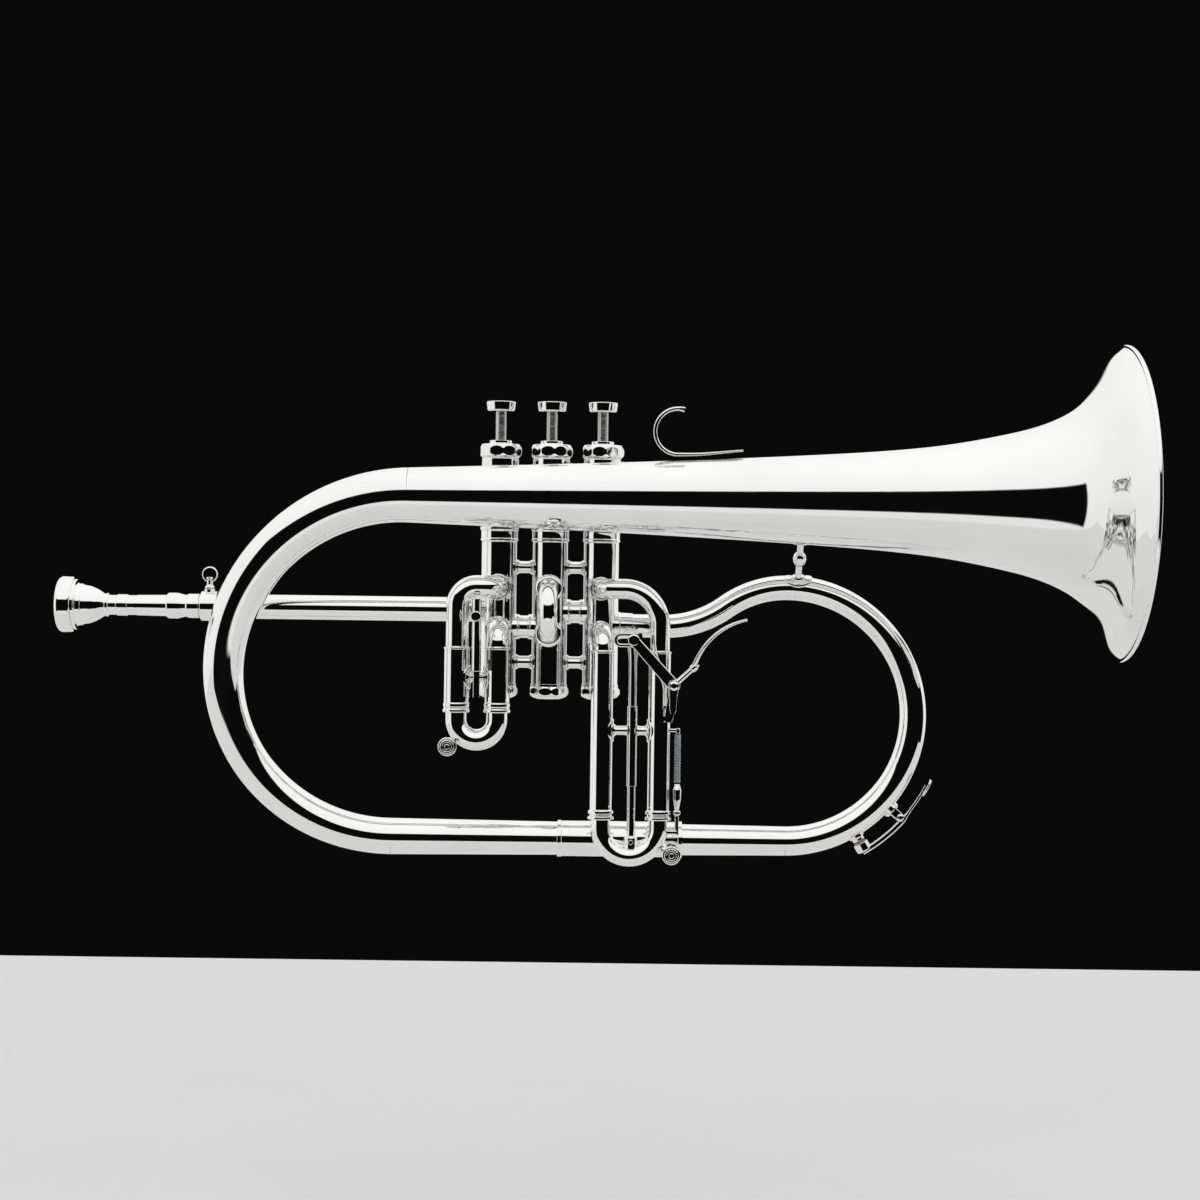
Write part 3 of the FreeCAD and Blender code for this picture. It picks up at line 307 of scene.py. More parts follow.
class Wire:
    """One output socket of a material. Arithmetic on it adds Math nodes."""

    def __init__(self, tree, socket=None):
        self.tree = tree
        self.socket = socket

    def node(self, kind, settings=None, inputs=None, output=0):
        """Add a node: its type, its settings, then the values or links of its sockets."""
        made = self.tree.nodes.new(kind)
        for name, value in (settings or {}).items():
            if name == "stops":
                for stop, (place, shade) in zip(made.color_ramp.elements, value):
                    stop.position = place
                    stop.color = (shade, shade, shade, 1)
            else:
                setattr(made, name, value)
        for key, value in (inputs or {}).items():
            if isinstance(value, Wire):
                self.tree.links.new(value.socket, made.inputs[key])
            else:
                made.inputs[key].default_value = value
        return Wire(self.tree, made.outputs[output])

    def math(self, operation, *values):
        return self.node("ShaderNodeMath", {"operation": operation}, dict(enumerate(values)))

    def __add__(self, other):
        return self.math("ADD", self, other)

    def __radd__(self, other):
        return self.math("ADD", other, self)

    def __sub__(self, other):
        return self.math("SUBTRACT", self, other)

    def __rsub__(self, other):
        return self.math("SUBTRACT", other, self)

    def __mul__(self, other):
        return self.math("MULTIPLY", self, other)

    def __rmul__(self, other):
        return self.math("MULTIPLY", other, self)

    def noise(self, place, scale, detail=3.0, roughness=0.5):
        """A cloudy value between 0 and 1; scale is in lumps per metre."""
        return self.node("ShaderNodeTexNoise", {}, {"Vector": place, "Scale": scale, "Detail": detail,
                                                    "Roughness": roughness})

    def ramp(self, value, low, high):
        """0 below low, 1 above high, and even in between."""
        return self.node("ShaderNodeMapRange", {"clamp": True}, {"Value": value, 1: low, 2: high})

    def blend(self, share, first, second):
        """Mix two colours by a share."""
        inputs = {0: share, 6: first, 7: second}
        return self.node("ShaderNodeMix", {"data_type": "RGBA"}, inputs, 2)


def new_material(name):
    """A material with a Principled shader; gives the material, the shader and a place to start."""
    made = bpy.data.materials.new(name)
    made.use_nodes = True
    tree = made.node_tree
    shader = tree.nodes["Principled BSDF"]
    start = Wire(tree)
    place = start.node("ShaderNodeTexCoord", output=3)
    return made, shader, start, place


def feed(shader, socket, wire):
    """Link a wire to one of the shader's sockets."""
    wire.tree.links.new(wire.socket, shader.inputs[socket])


def stretched(start, place, scale):
    """The same place, squeezed or drawn out along each axis."""
    return start.node("ShaderNodeMapping", {}, {"Vector": place, "Scale": scale})


# %% [markdown]
# ## Silver plate
# Fresh silver plate is nearly colourless and reflects about 95% of the light. It isn't a perfect
# mirror: buffing leaves very shallow waves and hairline scratches, and handling leaves soft
# smudges. The base colour and roughness follow those, and a Bump node carries the waves.

# %% Silver for sheet, for fittings and for worn places


def silver(name, tint, shade, rough, smudge, waves, hairlines):
    """Polished plate: smudges change colour and roughness, waves and hairlines feed the bump."""
    made, shader, start, place = new_material(name)
    clouds = start.noise(place, 18.0, 4.0)
    spots = start.ramp(start.noise(place, 70.0, 5.0, 0.6), 0.52, 0.75)
    smear = start.noise(stretched(start, place, (1.0, 1.0, 0.25)), 240.0, 4.0, 0.65)
    scratch = start.noise(stretched(start, place, (0.08, 1.0, 1.0)), 2600.0, 2.0)
    feed(shader, "Base Color", start.blend(start.ramp(clouds, 0.35, 0.7), tint, shade))
    feed(shader, "Roughness", rough + smudge * (0.6 * spots + 0.4 * start.ramp(smear, 0.45, 0.8)))
    height = waves * start.noise(place, 32.0, 1.0) + hairlines * start.ramp(scratch, 0.55, 0.8)
    bump = start.node("ShaderNodeBump", {}, {"Strength": 1.0, "Distance": 0.001, "Height": height})
    feed(shader, "Normal", bump)
    shader.inputs["Metallic"].default_value = 1.0
    shader.inputs["IOR"].default_value = 1.45
    return made


SHEET = silver("silver_sheet", (0.95, 0.95, 0.94, 1), (0.90, 0.90, 0.89, 1), 0.035, 0.07, 0.05, 0.0008)
FITTING = silver("silver_turned", (0.93, 0.93, 0.92, 1), (0.86, 0.86, 0.85, 1), 0.05, 0.08, 0.02, 0.0012)
INSIDE = silver("silver_inner_slide", (0.90, 0.90, 0.89, 1), (0.80, 0.80, 0.79, 1), 0.09, 0.12, 0.01, 0.003)

# %% [markdown]
# ## The other finishes
# The pistons are a harder white metal, ground round, so their scratches run round them. The springs
# are drawn wire, the guides are white plastic, and the cork in the water key is cork.

# %% Ground metal, wire, plastic and cork


def ground_metal():
    """Piston metal: fine scratches that run round it feed the roughness and the bump."""
    made, shader, start, place = new_material("piston_ground_metal")
    rings = start.noise(stretched(start, place, (0.02, 0.02, 1.0)), 5200.0, 3.0)
    clouds = start.noise(place, 60.0, 3.0)
    feed(shader, "Base Color", start.blend(clouds, (0.62, 0.61, 0.58, 1), (0.50, 0.50, 0.48, 1)))
    feed(shader, "Roughness", 0.16 + 0.18 * rings)
    bump = start.node("ShaderNodeBump", {}, {"Strength": 0.4, "Distance": 0.0002, "Height": rings})
    feed(shader, "Normal", bump)
    shader.inputs["Metallic"].default_value = 1.0
    return made


def spring_wire():
    """Drawn steel wire, a little uneven in colour."""
    made, shader, start, place = new_material("spring_wire")
    clouds = start.noise(place, 500.0, 3.0)
    feed(shader, "Base Color", start.blend(clouds, (0.56, 0.57, 0.58, 1), (0.40, 0.41, 0.43, 1)))
    feed(shader, "Roughness", 0.18 + 0.2 * clouds)
    shader.inputs["Metallic"].default_value = 1.0
    return made


def plastic():
    """Off-white plastic of the valve guides."""
    made, shader, start, place = new_material("guide_white_plastic")
    clouds = start.noise(place, 300.0, 3.0)
    feed(shader, "Base Color", start.blend(clouds, (0.86, 0.85, 0.80, 1), (0.78, 0.77, 0.71, 1)))
    feed(shader, "Roughness", 0.35 + 0.15 * clouds)
    return made


def cork():
    """Cork: dark pits between pale lumps."""
    made, shader, start, place = new_material("natural_cork")
    grain = start.node("ShaderNodeTexVoronoi", {}, {"Vector": place, "Scale": 1400.0})
    pits = start.ramp(grain, 0.1, 0.45)
    clouds = start.noise(place, 900.0, 4.0)
    colour = start.blend(pits, (0.20, 0.10, 0.05, 1), (0.62, 0.42, 0.24, 1))
    feed(shader, "Base Color", start.blend(0.35 * clouds, colour, (0.45, 0.28, 0.15, 1)))
    feed(shader, "Roughness", 0.75 + 0.2 * clouds)
    bump = start.node("ShaderNodeBump", {}, {"Strength": 0.7, "Distance": 0.0002, "Height": pits})
    feed(shader, "Normal", bump)
    return made


GROUND = ground_metal()
WIRE = spring_wire()
PLASTIC = plastic()
CORK = cork()
print("finishes:", [m.name for m in bpy.data.materials if m.use_nodes])

# %% [markdown]
# ## Putting a piece in place
# A finished piece gets its material, rides on the CAD body it belongs to, and hides the plain CAD
# nodes that it stands for.

# %% One call for every piece
COUNTS = {}


def fit(made, material, body, slot, *nodes):
    """Give a piece its material, its body and the CAD nodes it stands for; slot is not used."""
    made.data.materials.append(material)
    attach(made, body)
    if nodes:
        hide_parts(*nodes)
    COUNTS[made.name] = len(made.data.polygons)
    return made


def plated(name, node, *shells, body="horn"):
    """A piece of sheet or tube in bright plate."""
    return fit(piece(name, *shells), SHEET, body, "silver_plate", node)


def fitting(name, node, *shells, body="horn"):
    """A turned or filed fitting in bright plate."""
    return fit(piece(name, *shells), FITTING, body, "silver_fittings", node)


# %% [markdown]
# ## The bell
# A bell is cut from flat sheet, seamed, beaten over a mandrel and spun to shape, so its wall is thin
# and its outline is one flowing curve. The rim is rolled round a wire. Here one closed outline runs
# out along the wall, round the rolled rim and back inside, and is turned round the bell's axis.

# %% Bell
BELL_AXIS = np.array([0, *middle("bell")[1:]])
BELL_START = span("bell")[0][0]
MOUTH = span("bell")[1][0]
RIM = (span("bell")[1] - span("bell")[0])[2] / 2
SHEET_WALL = 0.7
LEFT_TOP_R = 13.4


def bell_outline():
    """The wall's outside curve, the bead's circle round the rim, and the inside curve back.

    The inside lies one wall's thickness from the outside, square to it.
    """
    knots = [(BELL_START, LEFT_TOP_R), (43, 17.6), (130, 22.15), (168, 25.0), (192, 27.95), (216, 32.55),
             (236, 38.0), (245.6, 42.3), (252, 46.6), (258, 54.4), (264, 65.0), (268.5, 71.0),
             (MOUTH - 2.5, RIM - 1.9)]
    outer = through(knots, 150)
    slope = unit(np.gradient(outer, axis=0))
    inner = outer + SHEET_WALL * np.stack([slope[:, 1], -slope[:, 0]], 1)
    bead_r = 1.15
    bead = np.array([MOUTH - bead_r, RIM - bead_r])
    turn = np.radians(np.linspace(200, -60, 22))
    roll = bead + bead_r * np.stack([np.cos(turn), np.sin(turn)], 1)
    return np.concatenate([outer, roll, inner[::-1]])


bell = plated("bell_wall", "bell", shell(turned(bell_outline(), BELL_AXIS, X, 176), ring=True))
print("bell: rim radius", round(RIM, 1), "mm, faces", COUNTS["bell_wall"])

# %% [markdown]
# ## The bows and the bottom tube
# A bow is a tapered tube filled with pitch, ice or water and pulled round a former. The left bow
# leans, because the bell lies nearer to the player's side of the valves than the bottom tube does.
# Each is a round section carried round an arc while its radius grows.

# %% Left bow, bottom tube and right bow
BOTTOM_Z = middle("bottom_tube")[2]
LEFT_X, RIGHT_X = span("bottom_tube")[0][0], span("bottom_tube")[1][0]
LEFT_REACH = 85.6
LEFT_LOW_R = 8.95
LEFT_GROWTH = 1.9
RIGHT_R = 62.3
RIGHT_LOW_R = 7.2
RIGHT_TOP_R = 6.1
bow_top = np.array([BELL_START, BELL_AXIS[1], BELL_AXIS[2]])
bow_bottom = np.array([LEFT_X, 0.0, BOTTOM_Z])
bow_middle = (bow_top + bow_bottom) / 2
turn_share = np.linspace(0, 1, 91)
turn = np.pi * turn_share[:, None]
left_path = bow_middle + np.cos(turn) * (bow_bottom - bow_middle) - np.sin(turn) * LEFT_REACH * X
left_r = LEFT_LOW_R + (LEFT_TOP_R - LEFT_LOW_R) * turn_share ** LEFT_GROWTH
left_facing = unit(np.cross(bow_top - bow_bottom, X))
left_bow = plated("left_bow", "bell_bow", tube(left_path, left_r, SHEET_WALL, left_facing, 88))

bottom_path = straight((RIGHT_X, 0, BOTTOM_Z), (LEFT_X, 0, BOTTOM_Z), 40)
bottom = piece("bottom_tube_wall", tube(bottom_path, np.linspace(RIGHT_LOW_R, LEFT_LOW_R, 40), SHEET_WALL))
fit(bottom, SHEET, "horn", "silver_plate", "bottom_tube")

RIGHT_CENTRE = np.array([RIGHT_X, 0, BOTTOM_Z + RIGHT_R])
right_path = arc(RIGHT_CENTRE, RIGHT_R * Z, X, 0, 180, 91)
right_bow = piece("right_bow", tube(right_path, np.linspace(RIGHT_TOP_R, RIGHT_LOW_R, 91), SHEET_WALL))
fit(right_bow, SHEET, "horn", "silver_plate", "lower_bow")
left_span = float(np.linalg.norm(bow_top - bow_bottom))
print("left bow:", round(left_span / 2, 1), "mm radius; right bow:", RIGHT_R)

# %% [markdown]
# ## The sleeve and the exit branch
# The sleeve covers a joint in the bottom tube and has a rolled edge at each end. The exit branch
# leaves the third valve and rises to the right bow in an S of two equal arcs.
# Where a tube meets a valve casing, its end is cut to the casing's curve: any point that would lie
# inside the casing is pushed out along the tube until it lies on it.

# %% Seats on round tubes, and the exit branch
CASING_R = 8.95
PITCH = middle("casing_3")[0]
CASING_SEAT = CASING_R - 0.35


def seat(rows, axis, towards, radius=CASING_SEAT, along=Z):
    """Push points that lie inside a round tube out to its surface.

    With a the distance from the tube's axis in the direction towards, and b the distance sideways,
    a point stays where a^2 + b^2 is at least radius^2, and otherwise moves until it is.
    """
    away = rows - np.asarray(axis, float)
    towards = unit(towards)
    sideways = away @ unit(np.cross(along, towards))
    needed = np.sqrt(np.maximum(radius ** 2 - sideways ** 2, 0))
    push = np.maximum(needed - away @ towards, 0)
    return rows + push[..., None] * towards


def seated_tube(path, outer, wall, axis, towards, facing=(0, 1, 0), around=64, end=None):
    """A hollow tube whose first end, and last end too if end is given, sits on a round casing."""
    outside = swept(path, outer, facing=facing, around=around)
    inside = swept(path, np.asarray(outer) - wall, facing=facing, around=around)
    rows = seat(np.concatenate([outside, inside[::-1]]), axis, towards)
    if end is not None:
        rows = seat(rows, end, -np.asarray(towards, float))
    return shell(rows, ring=True)


SLEEVE = span("bottom_sleeve")


def sleeve_outline():
    """A thin wall with a rounded collar at each end."""
    low, high = SLEEVE[0][0], SLEEVE[1][0]
    collar = (SLEEVE[1] - SLEEVE[0])[1] / 2
    return [(low, 7.4), (low, collar), (low + 2.0, collar), (low + 2.2, 8.75), (high - 2.2, 8.75),
            (high - 2.0, collar), (high, collar), (high, 7.4)]


sleeve = piece("joint_sleeve", ring_of(sleeve_outline(), (0, 0, BOTTOM_Z), X, 72))
fit(sleeve, FITTING, "horn", "silver_plate", "bottom_sleeve")

EXIT_Z = middle("exit_ferrule")[2]
S_START = 56.5
BRANCH_R = 5.75
RISE = RIGHT_CENTRE[2] + RIGHT_R - EXIT_Z
RUN = RIGHT_X - S_START
S_TURN = math.degrees(2 * math.atan(RISE / RUN))
S_RADIUS = RUN / (2 * math.sin(math.radians(S_TURN)))
first_arc = arc((S_START, 0, EXIT_Z + S_RADIUS), -S_RADIUS * Z, X, 0, S_TURN, 18)
second_arc = arc((RIGHT_X, 0, EXIT_Z + RISE - S_RADIUS), S_RADIUS * Z, X, -S_TURN, 0, 18)
exit_path = np.concatenate([straight((PITCH + 5.5, 0, EXIT_Z), (PITCH + 9.5, 0, EXIT_Z)),
                            straight((PITCH + 14, 0, EXIT_Z), (S_START - 1.5, 0, EXIT_Z), 6),
                            first_arc, second_arc[1:]])
exit_r = np.interp(exit_path[:, 0], [S_START, RIGHT_X], [BRANCH_R, RIGHT_TOP_R])
branch = plated("exit_branch_wall", "exit_branch", seated_tube(exit_path, exit_r, SHEET_WALL, PITCH * X, X))


def flange(place, towards, radius, tube_r, axis, length=8.0, lip=1.2):
    """A ferrule where a tube meets a casing: a wide lip on the casing and a neck along the tube."""
    outline = [(-4.0, tube_r - 0.1), (-4.0, radius), (lip, radius), (lip + 0.6, tube_r + 0.75),
               (length - 0.8, tube_r + 0.45), (length, tube_r + 0.4), (length, tube_r - 0.1)]
    rows = turned(soften(outline, 0.35), place, towards, 64)
    return shell(seat(rows, axis, towards), ring=True)


ferrule = piece("exit_joint", flange((PITCH + 8.0, 0, EXIT_Z), X, 6.9, BRANCH_R, PITCH * X))
fit(ferrule, FITTING, "horn", "silver_plate", "exit_ferrule")
print("the S turns", round(S_TURN, 1), "degrees at a radius of", round(S_RADIUS, 1), "mm")

# %% [markdown]
# ## The valve casings
# Three casings are turned from tube and stand side by side. A wide band near the middle joins the
# upper and lower casing. Each casing is a closed outline, out along the outside and back down the bore.

# %% Casings
CASINGS = [middle("casing_%d" % n)[0] for n in (1, 2, 3)]
CASE_LOW, CASE_HIGH = span("casing_1")[0][2], span("casing_1")[1][2]
BAND_R = (span("casing_1")[1] - span("casing_1")[0])[1] / 2


def casing_outline():
    """Foot, wall, a band with a thin ring, a waist and a rounded flange above, wall, top and bore."""
    return [(CASE_LOW, 8.1), (CASE_LOW, CASING_R), (33.5, CASING_R), (33.9, BAND_R - 0.3),
            (34.9, BAND_R - 0.3), (35.2, BAND_R - 0.55), (38.6, BAND_R - 0.55), (39.4, BAND_R - 0.1),
            (40.4, BAND_R), (41.3, BAND_R - 0.15), (41.9, CASING_R), (CASE_HIGH, CASING_R),
            (CASE_HIGH, 8.1)]


for number, x in enumerate(CASINGS, 1):
    made = piece("casing_tube_%d" % number, ring_of(casing_outline(), (x, 0, 0), Z, 88))
    fit(made, SHEET, "horn", "silver_plate", "casing_%d" % number)
print("casing axes at x =", [round(x, 1) for x in CASINGS], "mm")

# %% [markdown]
# ## The caps
# Top and bottom caps screw on, so their edges need a grip. Ten flat facets are ground on a barrel
# shape, and a plane cuts a barrel in an oval. The radius of a turned outline is limited by such
# planes.

# %% Faceted caps


def facets(flat, count, turn=9.0):
    """A form for turned(): flat oval facets ground on a barrel.

    Round each facet's middle the radius is the smaller of the barrel's own radius and
    flat / cos(angle from that middle), which is a plane at the distance flat from the axis.
    """
    step = 2 * np.pi / count

    def form(distance, radius, angle):
        local = (angle + math.radians(turn) + step / 2) % step - step / 2
        return np.where(radius > flat * 0.97, np.minimum(radius, flat / np.cos(local)), radius)
    return form


def fine(outline, step=0.35):
    """More points along an outline, evenly spaced, so that a form has rows to act on."""
    outline = np.asarray(outline, float)
    length = np.concatenate([[0], np.cumsum(np.linalg.norm(np.diff(outline, axis=0), axis=1))])
    where = np.union1d(np.arange(0, length[-1], step), length)
    return np.stack([np.interp(where, length, outline[:, k]) for k in (0, 1)], 1)


CAP_LOW = span("top_caps")[0][2]
BOTTOM_CAP_LOW = span("bottom_caps")[0][2]


def top_cap(x):
    """Collar, barrel with facets, a small neck with the stem's hole, and the inside of the cap."""
    barrel = [(3.9, 9.3), (4.3, 9.75), (5.0, 10.25), (6.0, 10.62), (7.2, 10.75), (8.4, 10.68),
              (9.4, 10.42), (10.3, 10.0), (10.9, 9.55)]
    outside = [(0.0, 9.0), (0.0, 9.4), (3.6, 9.4)] + barrel + [
        (11.0, 5.9), (11.4, 5.65), (12.7, 5.65), (12.8, 5.3), (12.8, 2.75), (8.3, 2.75), (8.3, 8.0),
        (7.2, 9.0)]
    rows = turned(fine(soften(outside, 0.3)), (x, 0, CAP_LOW), Z, 160, facets(10.22, 10))
    return shell(rows, ring=True)


def bottom_cap(x):
    """Shallow bowl, barrel with facets, and the rim that the casing screws into."""
    barrel = [(1.0, 8.7), (1.5, 9.3), (2.2, 9.75), (3.2, 10.05), (4.2, 10.05), (5.2, 9.8), (5.8, 9.45)]
    outside = [(0.0, 0.9), (0.0, 6.4), (0.5, 7.7)] + barrel + [
        (6.1, 9.3), (7.4, 9.3), (7.4, 9.0), (5.4, 9.0), (5.4, 8.0), (1.4, 8.0), (1.4, 0.9)]
    rows = turned(fine(soften(outside, 0.3)), (x, 0, BOTTOM_CAP_LOW), Z, 160, facets(9.6, 10))
    return shell(rows, ring=True)


caps = fitting("top_cap_set", "top_caps", *[top_cap(x) for x in CASINGS])
feet = fitting("bottom_cap_set", "bottom_caps", *[bottom_cap(x) for x in CASINGS])
print("cap faces:", COUNTS["top_cap_set"], COUNTS["bottom_cap_set"])

# %% [markdown]
# ## Buttons, stems and springs
# A finger presses the button, and a stem carries the push down to the piston. The coil spring
# inside the barrel pushes the piston back up. The springs are real helices here, because the CAD
# gives only the space that each one fills.

# %% Moving parts of the valves
BUTTON_LOW = span("button_1")[0][2]
BUTTON_HIGH = span("button_1")[1][2]
BUTTON_R = (span("button_1")[1] - span("button_1")[0])[1] / 2


def coil(low, high, radius, wire, turns, x=0.0, y=0.0, close=1.0, around=12):
    """A helix of round wire: (x + R cos a, y + R sin a, z), with closed turns at both ends.

    The height grows with the share s of the turns as s plus a sine term, which slows it at the ends.
    """
    s = np.linspace(0, 1, int(turns * 28) + 1)
    rise = s - close * np.sin(2 * np.pi * s) / (2 * np.pi) * 0.35
    a = 2 * np.pi * turns * s
    z = low + wire + (high - low - 2 * wire) * rise
    path = np.stack([x + (radius - wire) * np.cos(a), y + (radius - wire) * np.sin(a), z], 1)
    return shell(swept(path, wire, facing=Z, around=around))


for number, x in enumerate(CASINGS, 1):
    body = "valve_%d" % number
    stem = piece("valve_stem_%d" % number,
                 bar_of([(64, 0), (64, 2.0), (67, 2.0), (67, 2.65), (BUTTON_LOW, 2.65),
                         (BUTTON_LOW, 1.5), (BUTTON_LOW + 2.4, 1.5), (BUTTON_LOW + 2.4, 0)],
                        (x, 0, 0), Z, 40))
    fit(stem, GROUND, body, "piston_metal", "stem_%d" % number)
    dish = [(BUTTON_LOW, 0), (BUTTON_LOW, BUTTON_R - 1.0), (BUTTON_LOW + 0.5, BUTTON_R - 0.5),
            (BUTTON_HIGH - 0.3, BUTTON_R), (BUTTON_HIGH, BUTTON_R - 0.3), (BUTTON_HIGH - 0.3, BUTTON_R - 1.3),
            (BUTTON_HIGH - 0.8, BUTTON_R - 3.5), (BUTTON_HIGH - 0.9, 0.0)]
    top = bar_of(dish, (x, 0, 0), Z, 72, fillet=0.35)
    fit(piece("finger_button_%d" % number, top), FITTING, body, "silver_fittings", "button_%d" % number)
    low, high = span("valve_spring_%d" % number)
    wound = piece("piston_spring_%d" % number, coil(low[2], high[2], 4.3, 0.35, 9, x))
    fit(wound, WIRE, "horn", "spring_steel", "valve_spring_%d" % number)
for number in (1, 2, 3):
    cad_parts["piston_%d" % number].data.materials.clear()
    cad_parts["piston_%d" % number].data.materials.append(GROUND)
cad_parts["valve_guides"].data.materials.clear()
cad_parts["valve_guides"].data.materials.append(PLASTIC)
print("button radius", round(BUTTON_R, 2), "mm")

# %% [markdown]
# ## Links and braces between the casings
# A short link tube joins each pair of casings where the air passes, and two turned braces hold them.
# A brace's foot is a thin round flange bent to the casing. To make one, a flat turned outline is
# wrapped: what lay sideways goes round the tube, and heights stay square to the foot.

# %% Links, wrapped feet and casing braces


def wrapped(outline, axis_point, out, along, tube_r, around=56, stretch=1.0, lift=0.0):
    """A turned outline of (height, radius) wrapped on a round tube.

    A point at radius q and angle a sits q cos(a) along the tube and q sin(a) round it. With
    f = q sin(a) / R, its place is the axis + (R cos f + height) * out + R sin f * side.
    """
    height, q = soften(outline, 0.25, closed=False)[1:-1].T
    out, along = unit(out), unit(along)
    side = np.cross(out, along)
    a = np.linspace(0, 2 * np.pi, around, endpoint=False)
    f = np.clip(q[:, None] * np.sin(a) / tube_r, -1.5, 1.5)
    rows = (np.asarray(axis_point, float) + (q[:, None] * np.cos(a) * stretch)[..., None] * along
            + (tube_r * np.cos(f) + height[:, None] + lift)[..., None] * out
            + (tube_r * np.sin(f))[..., None] * side)
    return shell(rows)


def foot(radius, bar_r, thick=0.8, rise=1.0):
    """The outline of a foot: a flat underside, a soft edge, and a hollow curve up to the bar."""
    return [(-0.25, 0.0), (-0.25, radius), (thick * 0.6, radius), (thick, radius - 0.5),
            (thick, bar_r + rise), (thick + rise * 0.35, bar_r + rise * 0.35), (thick + rise, bar_r),
            (thick + rise, 0.0)]


def brace(a, b, waist, ends):
    """A turned bar between two points, with a waist that is narrower than its ends."""
    a, b = np.asarray(a, float), np.asarray(b, float)
    share = np.linspace(0, 1, 25)
    radius = waist + (ends - waist) * (2 * share - 1) ** 4
    facing = Y if abs(unit(b - a)[1]) < 0.9 else Z
    return shell(swept(straight(a, b, 25), radius, facing=facing, around=48))


LINKS = ((CASINGS[0], -8.1), (CASINGS[1], -0.5))
LINK_R = 5.8
link_shells = []
for x, z in LINKS:
    far = x + PITCH
    gap = straight((x + 6, 0, z), (far - 6, 0, z), 2)
    inner = straight((x + 9.3, 0, z), (far - 9.3, 0, z), 8)
    path = np.concatenate([gap[:1], inner, gap[1:]])
    link_shells.append(seated_tube(path, np.full(len(path), LINK_R - 0.25), SHEET_WALL, x * X, X, end=far * X))
    for base, way in ((x, X), (far, -X)):
        link_shells.append(flange(base * X + 8.0 * way + z * Z, way, LINK_R + 0.35, LINK_R - 0.2, base * X,
                                  length=2.6, lip=1.3))
plated("valve_links", "link_tubes", *link_shells)

brace_shells = []
for x in CASINGS[:2]:
    for z in (21.2, -25.4):
        brace_shells.append(wrapped(foot(3.7, 3.1, 0.7, 0.5), (x, 0, z), X, Z, CASING_R))
        brace_shells.append(wrapped(foot(3.7, 3.1, 0.7, 0.5), (x + PITCH, 0, z), -X, Z, CASING_R))
        brace_shells.append(brace((x + CASING_R, 0, z), (x + PITCH - CASING_R, 0, z), 2.95, 3.3))
fitting("valve_braces", "casing_braces", *brace_shells)
print("links and braces:", COUNTS["valve_links"], COUNTS["valve_braces"], "faces")

# %% [markdown]
# ## Leadpipe, receiver and mouthpiece
# The leadpipe slides inside an outer pipe to tune the horn, and a split collar with a winged screw
# locks it. The receiver is a turned socket, and the mouthpiece is turned from solid bar: its rim,
# cup, bead and shank are one outline, so it is made as one turned piece.

# %% From the mouthpiece to the first valve
LEAD_X = span("leadpipe")[0][0]
LEAD_R = 6.05
lead_path = np.concatenate([straight((LEAD_X, 0, 0), (-CASING_R - PITCH - 1.5, 0, 0), 30),
                            straight((-PITCH - 6, 0, 0), (-PITCH - 6, 0, 0), 1)])
outside = swept(lead_path, LEAD_R)
inside = swept(lead_path, LEAD_R - 0.6)
lead_rows = seat(np.concatenate([outside, inside[::-1]]), -PITCH * X, -X)
lead_ring = ring_of([(-50.5, 5.9), (-50.5, 6.5), (-48, 6.5), (-48, 5.9)], (0, 0, 0), X, 64, fillet=0.6)
lead = piece("leadpipe_tube", shell(lead_rows, ring=True), lead_ring,
             flange(-PITCH * X - 8.0 * X, -X, 7.0, LEAD_R - 0.1, -PITCH * X, length=3.4))
fit(lead, SHEET, "horn", "silver_plate", "leadpipe")

PIPE_LOW, PIPE_HIGH = span("mouthpipe")
pipe = ring_of([(PIPE_LOW[0], 4.7), (PIPE_LOW[0], 5.4), (PIPE_HIGH[0], 5.4), (PIPE_HIGH[0], 4.7)],
               (0, 0, 0), X, 64)
fit(piece("tuning_pipe", pipe), INSIDE, "mouthpipe", "silver_plate", "mouthpipe")

RECEIVER = span("receiver")[0][0]
socket = [(0, 5.35), (0, 5.9), (0.8, 6.4), (5.0, 6.4), (7.4, 5.8), (8.4, 5.5), (9.6, 5.5), (10.4, 6.0),
          (16.0, 6.0), (16.0, 5.45), (11.5, 5.45), (11.5, 4.6), (10.0, 5.2)]
fit(piece("mouthpiece_receiver", ring_of(socket, (RECEIVER, 0, 0), X, 72)), FITTING, "mouthpipe",
    "silver_fittings", "receiver")

MOUTHPIECE = span("mouthpiece")[0][0]
cup = [(0, 9.6), (0, 12.6), (0.7, 13.5), (1.8, 13.9), (6.6, 13.7), (7.5, 12.9), (7.7, 12.0), (7.8, 12.5),
       (9.0, 12.5), (9.3, 10.4), (11.6, 10.3), (12.0, 9.8), (15.5, 9.2), (19.5, 7.4), (22.4, 5.4),
       (23.1, 5.8), (24.2, 5.8), (24.6, 4.9), (28.2, 4.9), (28.6, 5.3), (33.4, 5.3), (33.8, 4.9),
       (37.6, 4.9), (38.2, 5.05), (52.8, 5.3), (62.0, 5.15), (62.0, 4.1), (40, 2.6), (24, 2.2),
       (17.5, 3.4), (8.0, 7.0), (3.0, 8.2), (0.9, 8.6)]
fit(piece("mouthpiece_turned", ring_of(cup, (MOUTHPIECE, 0, 0), X, 112, fillet=0.8)), SHEET, "mouthpiece",
    "silver_fittings", "mouthpiece")

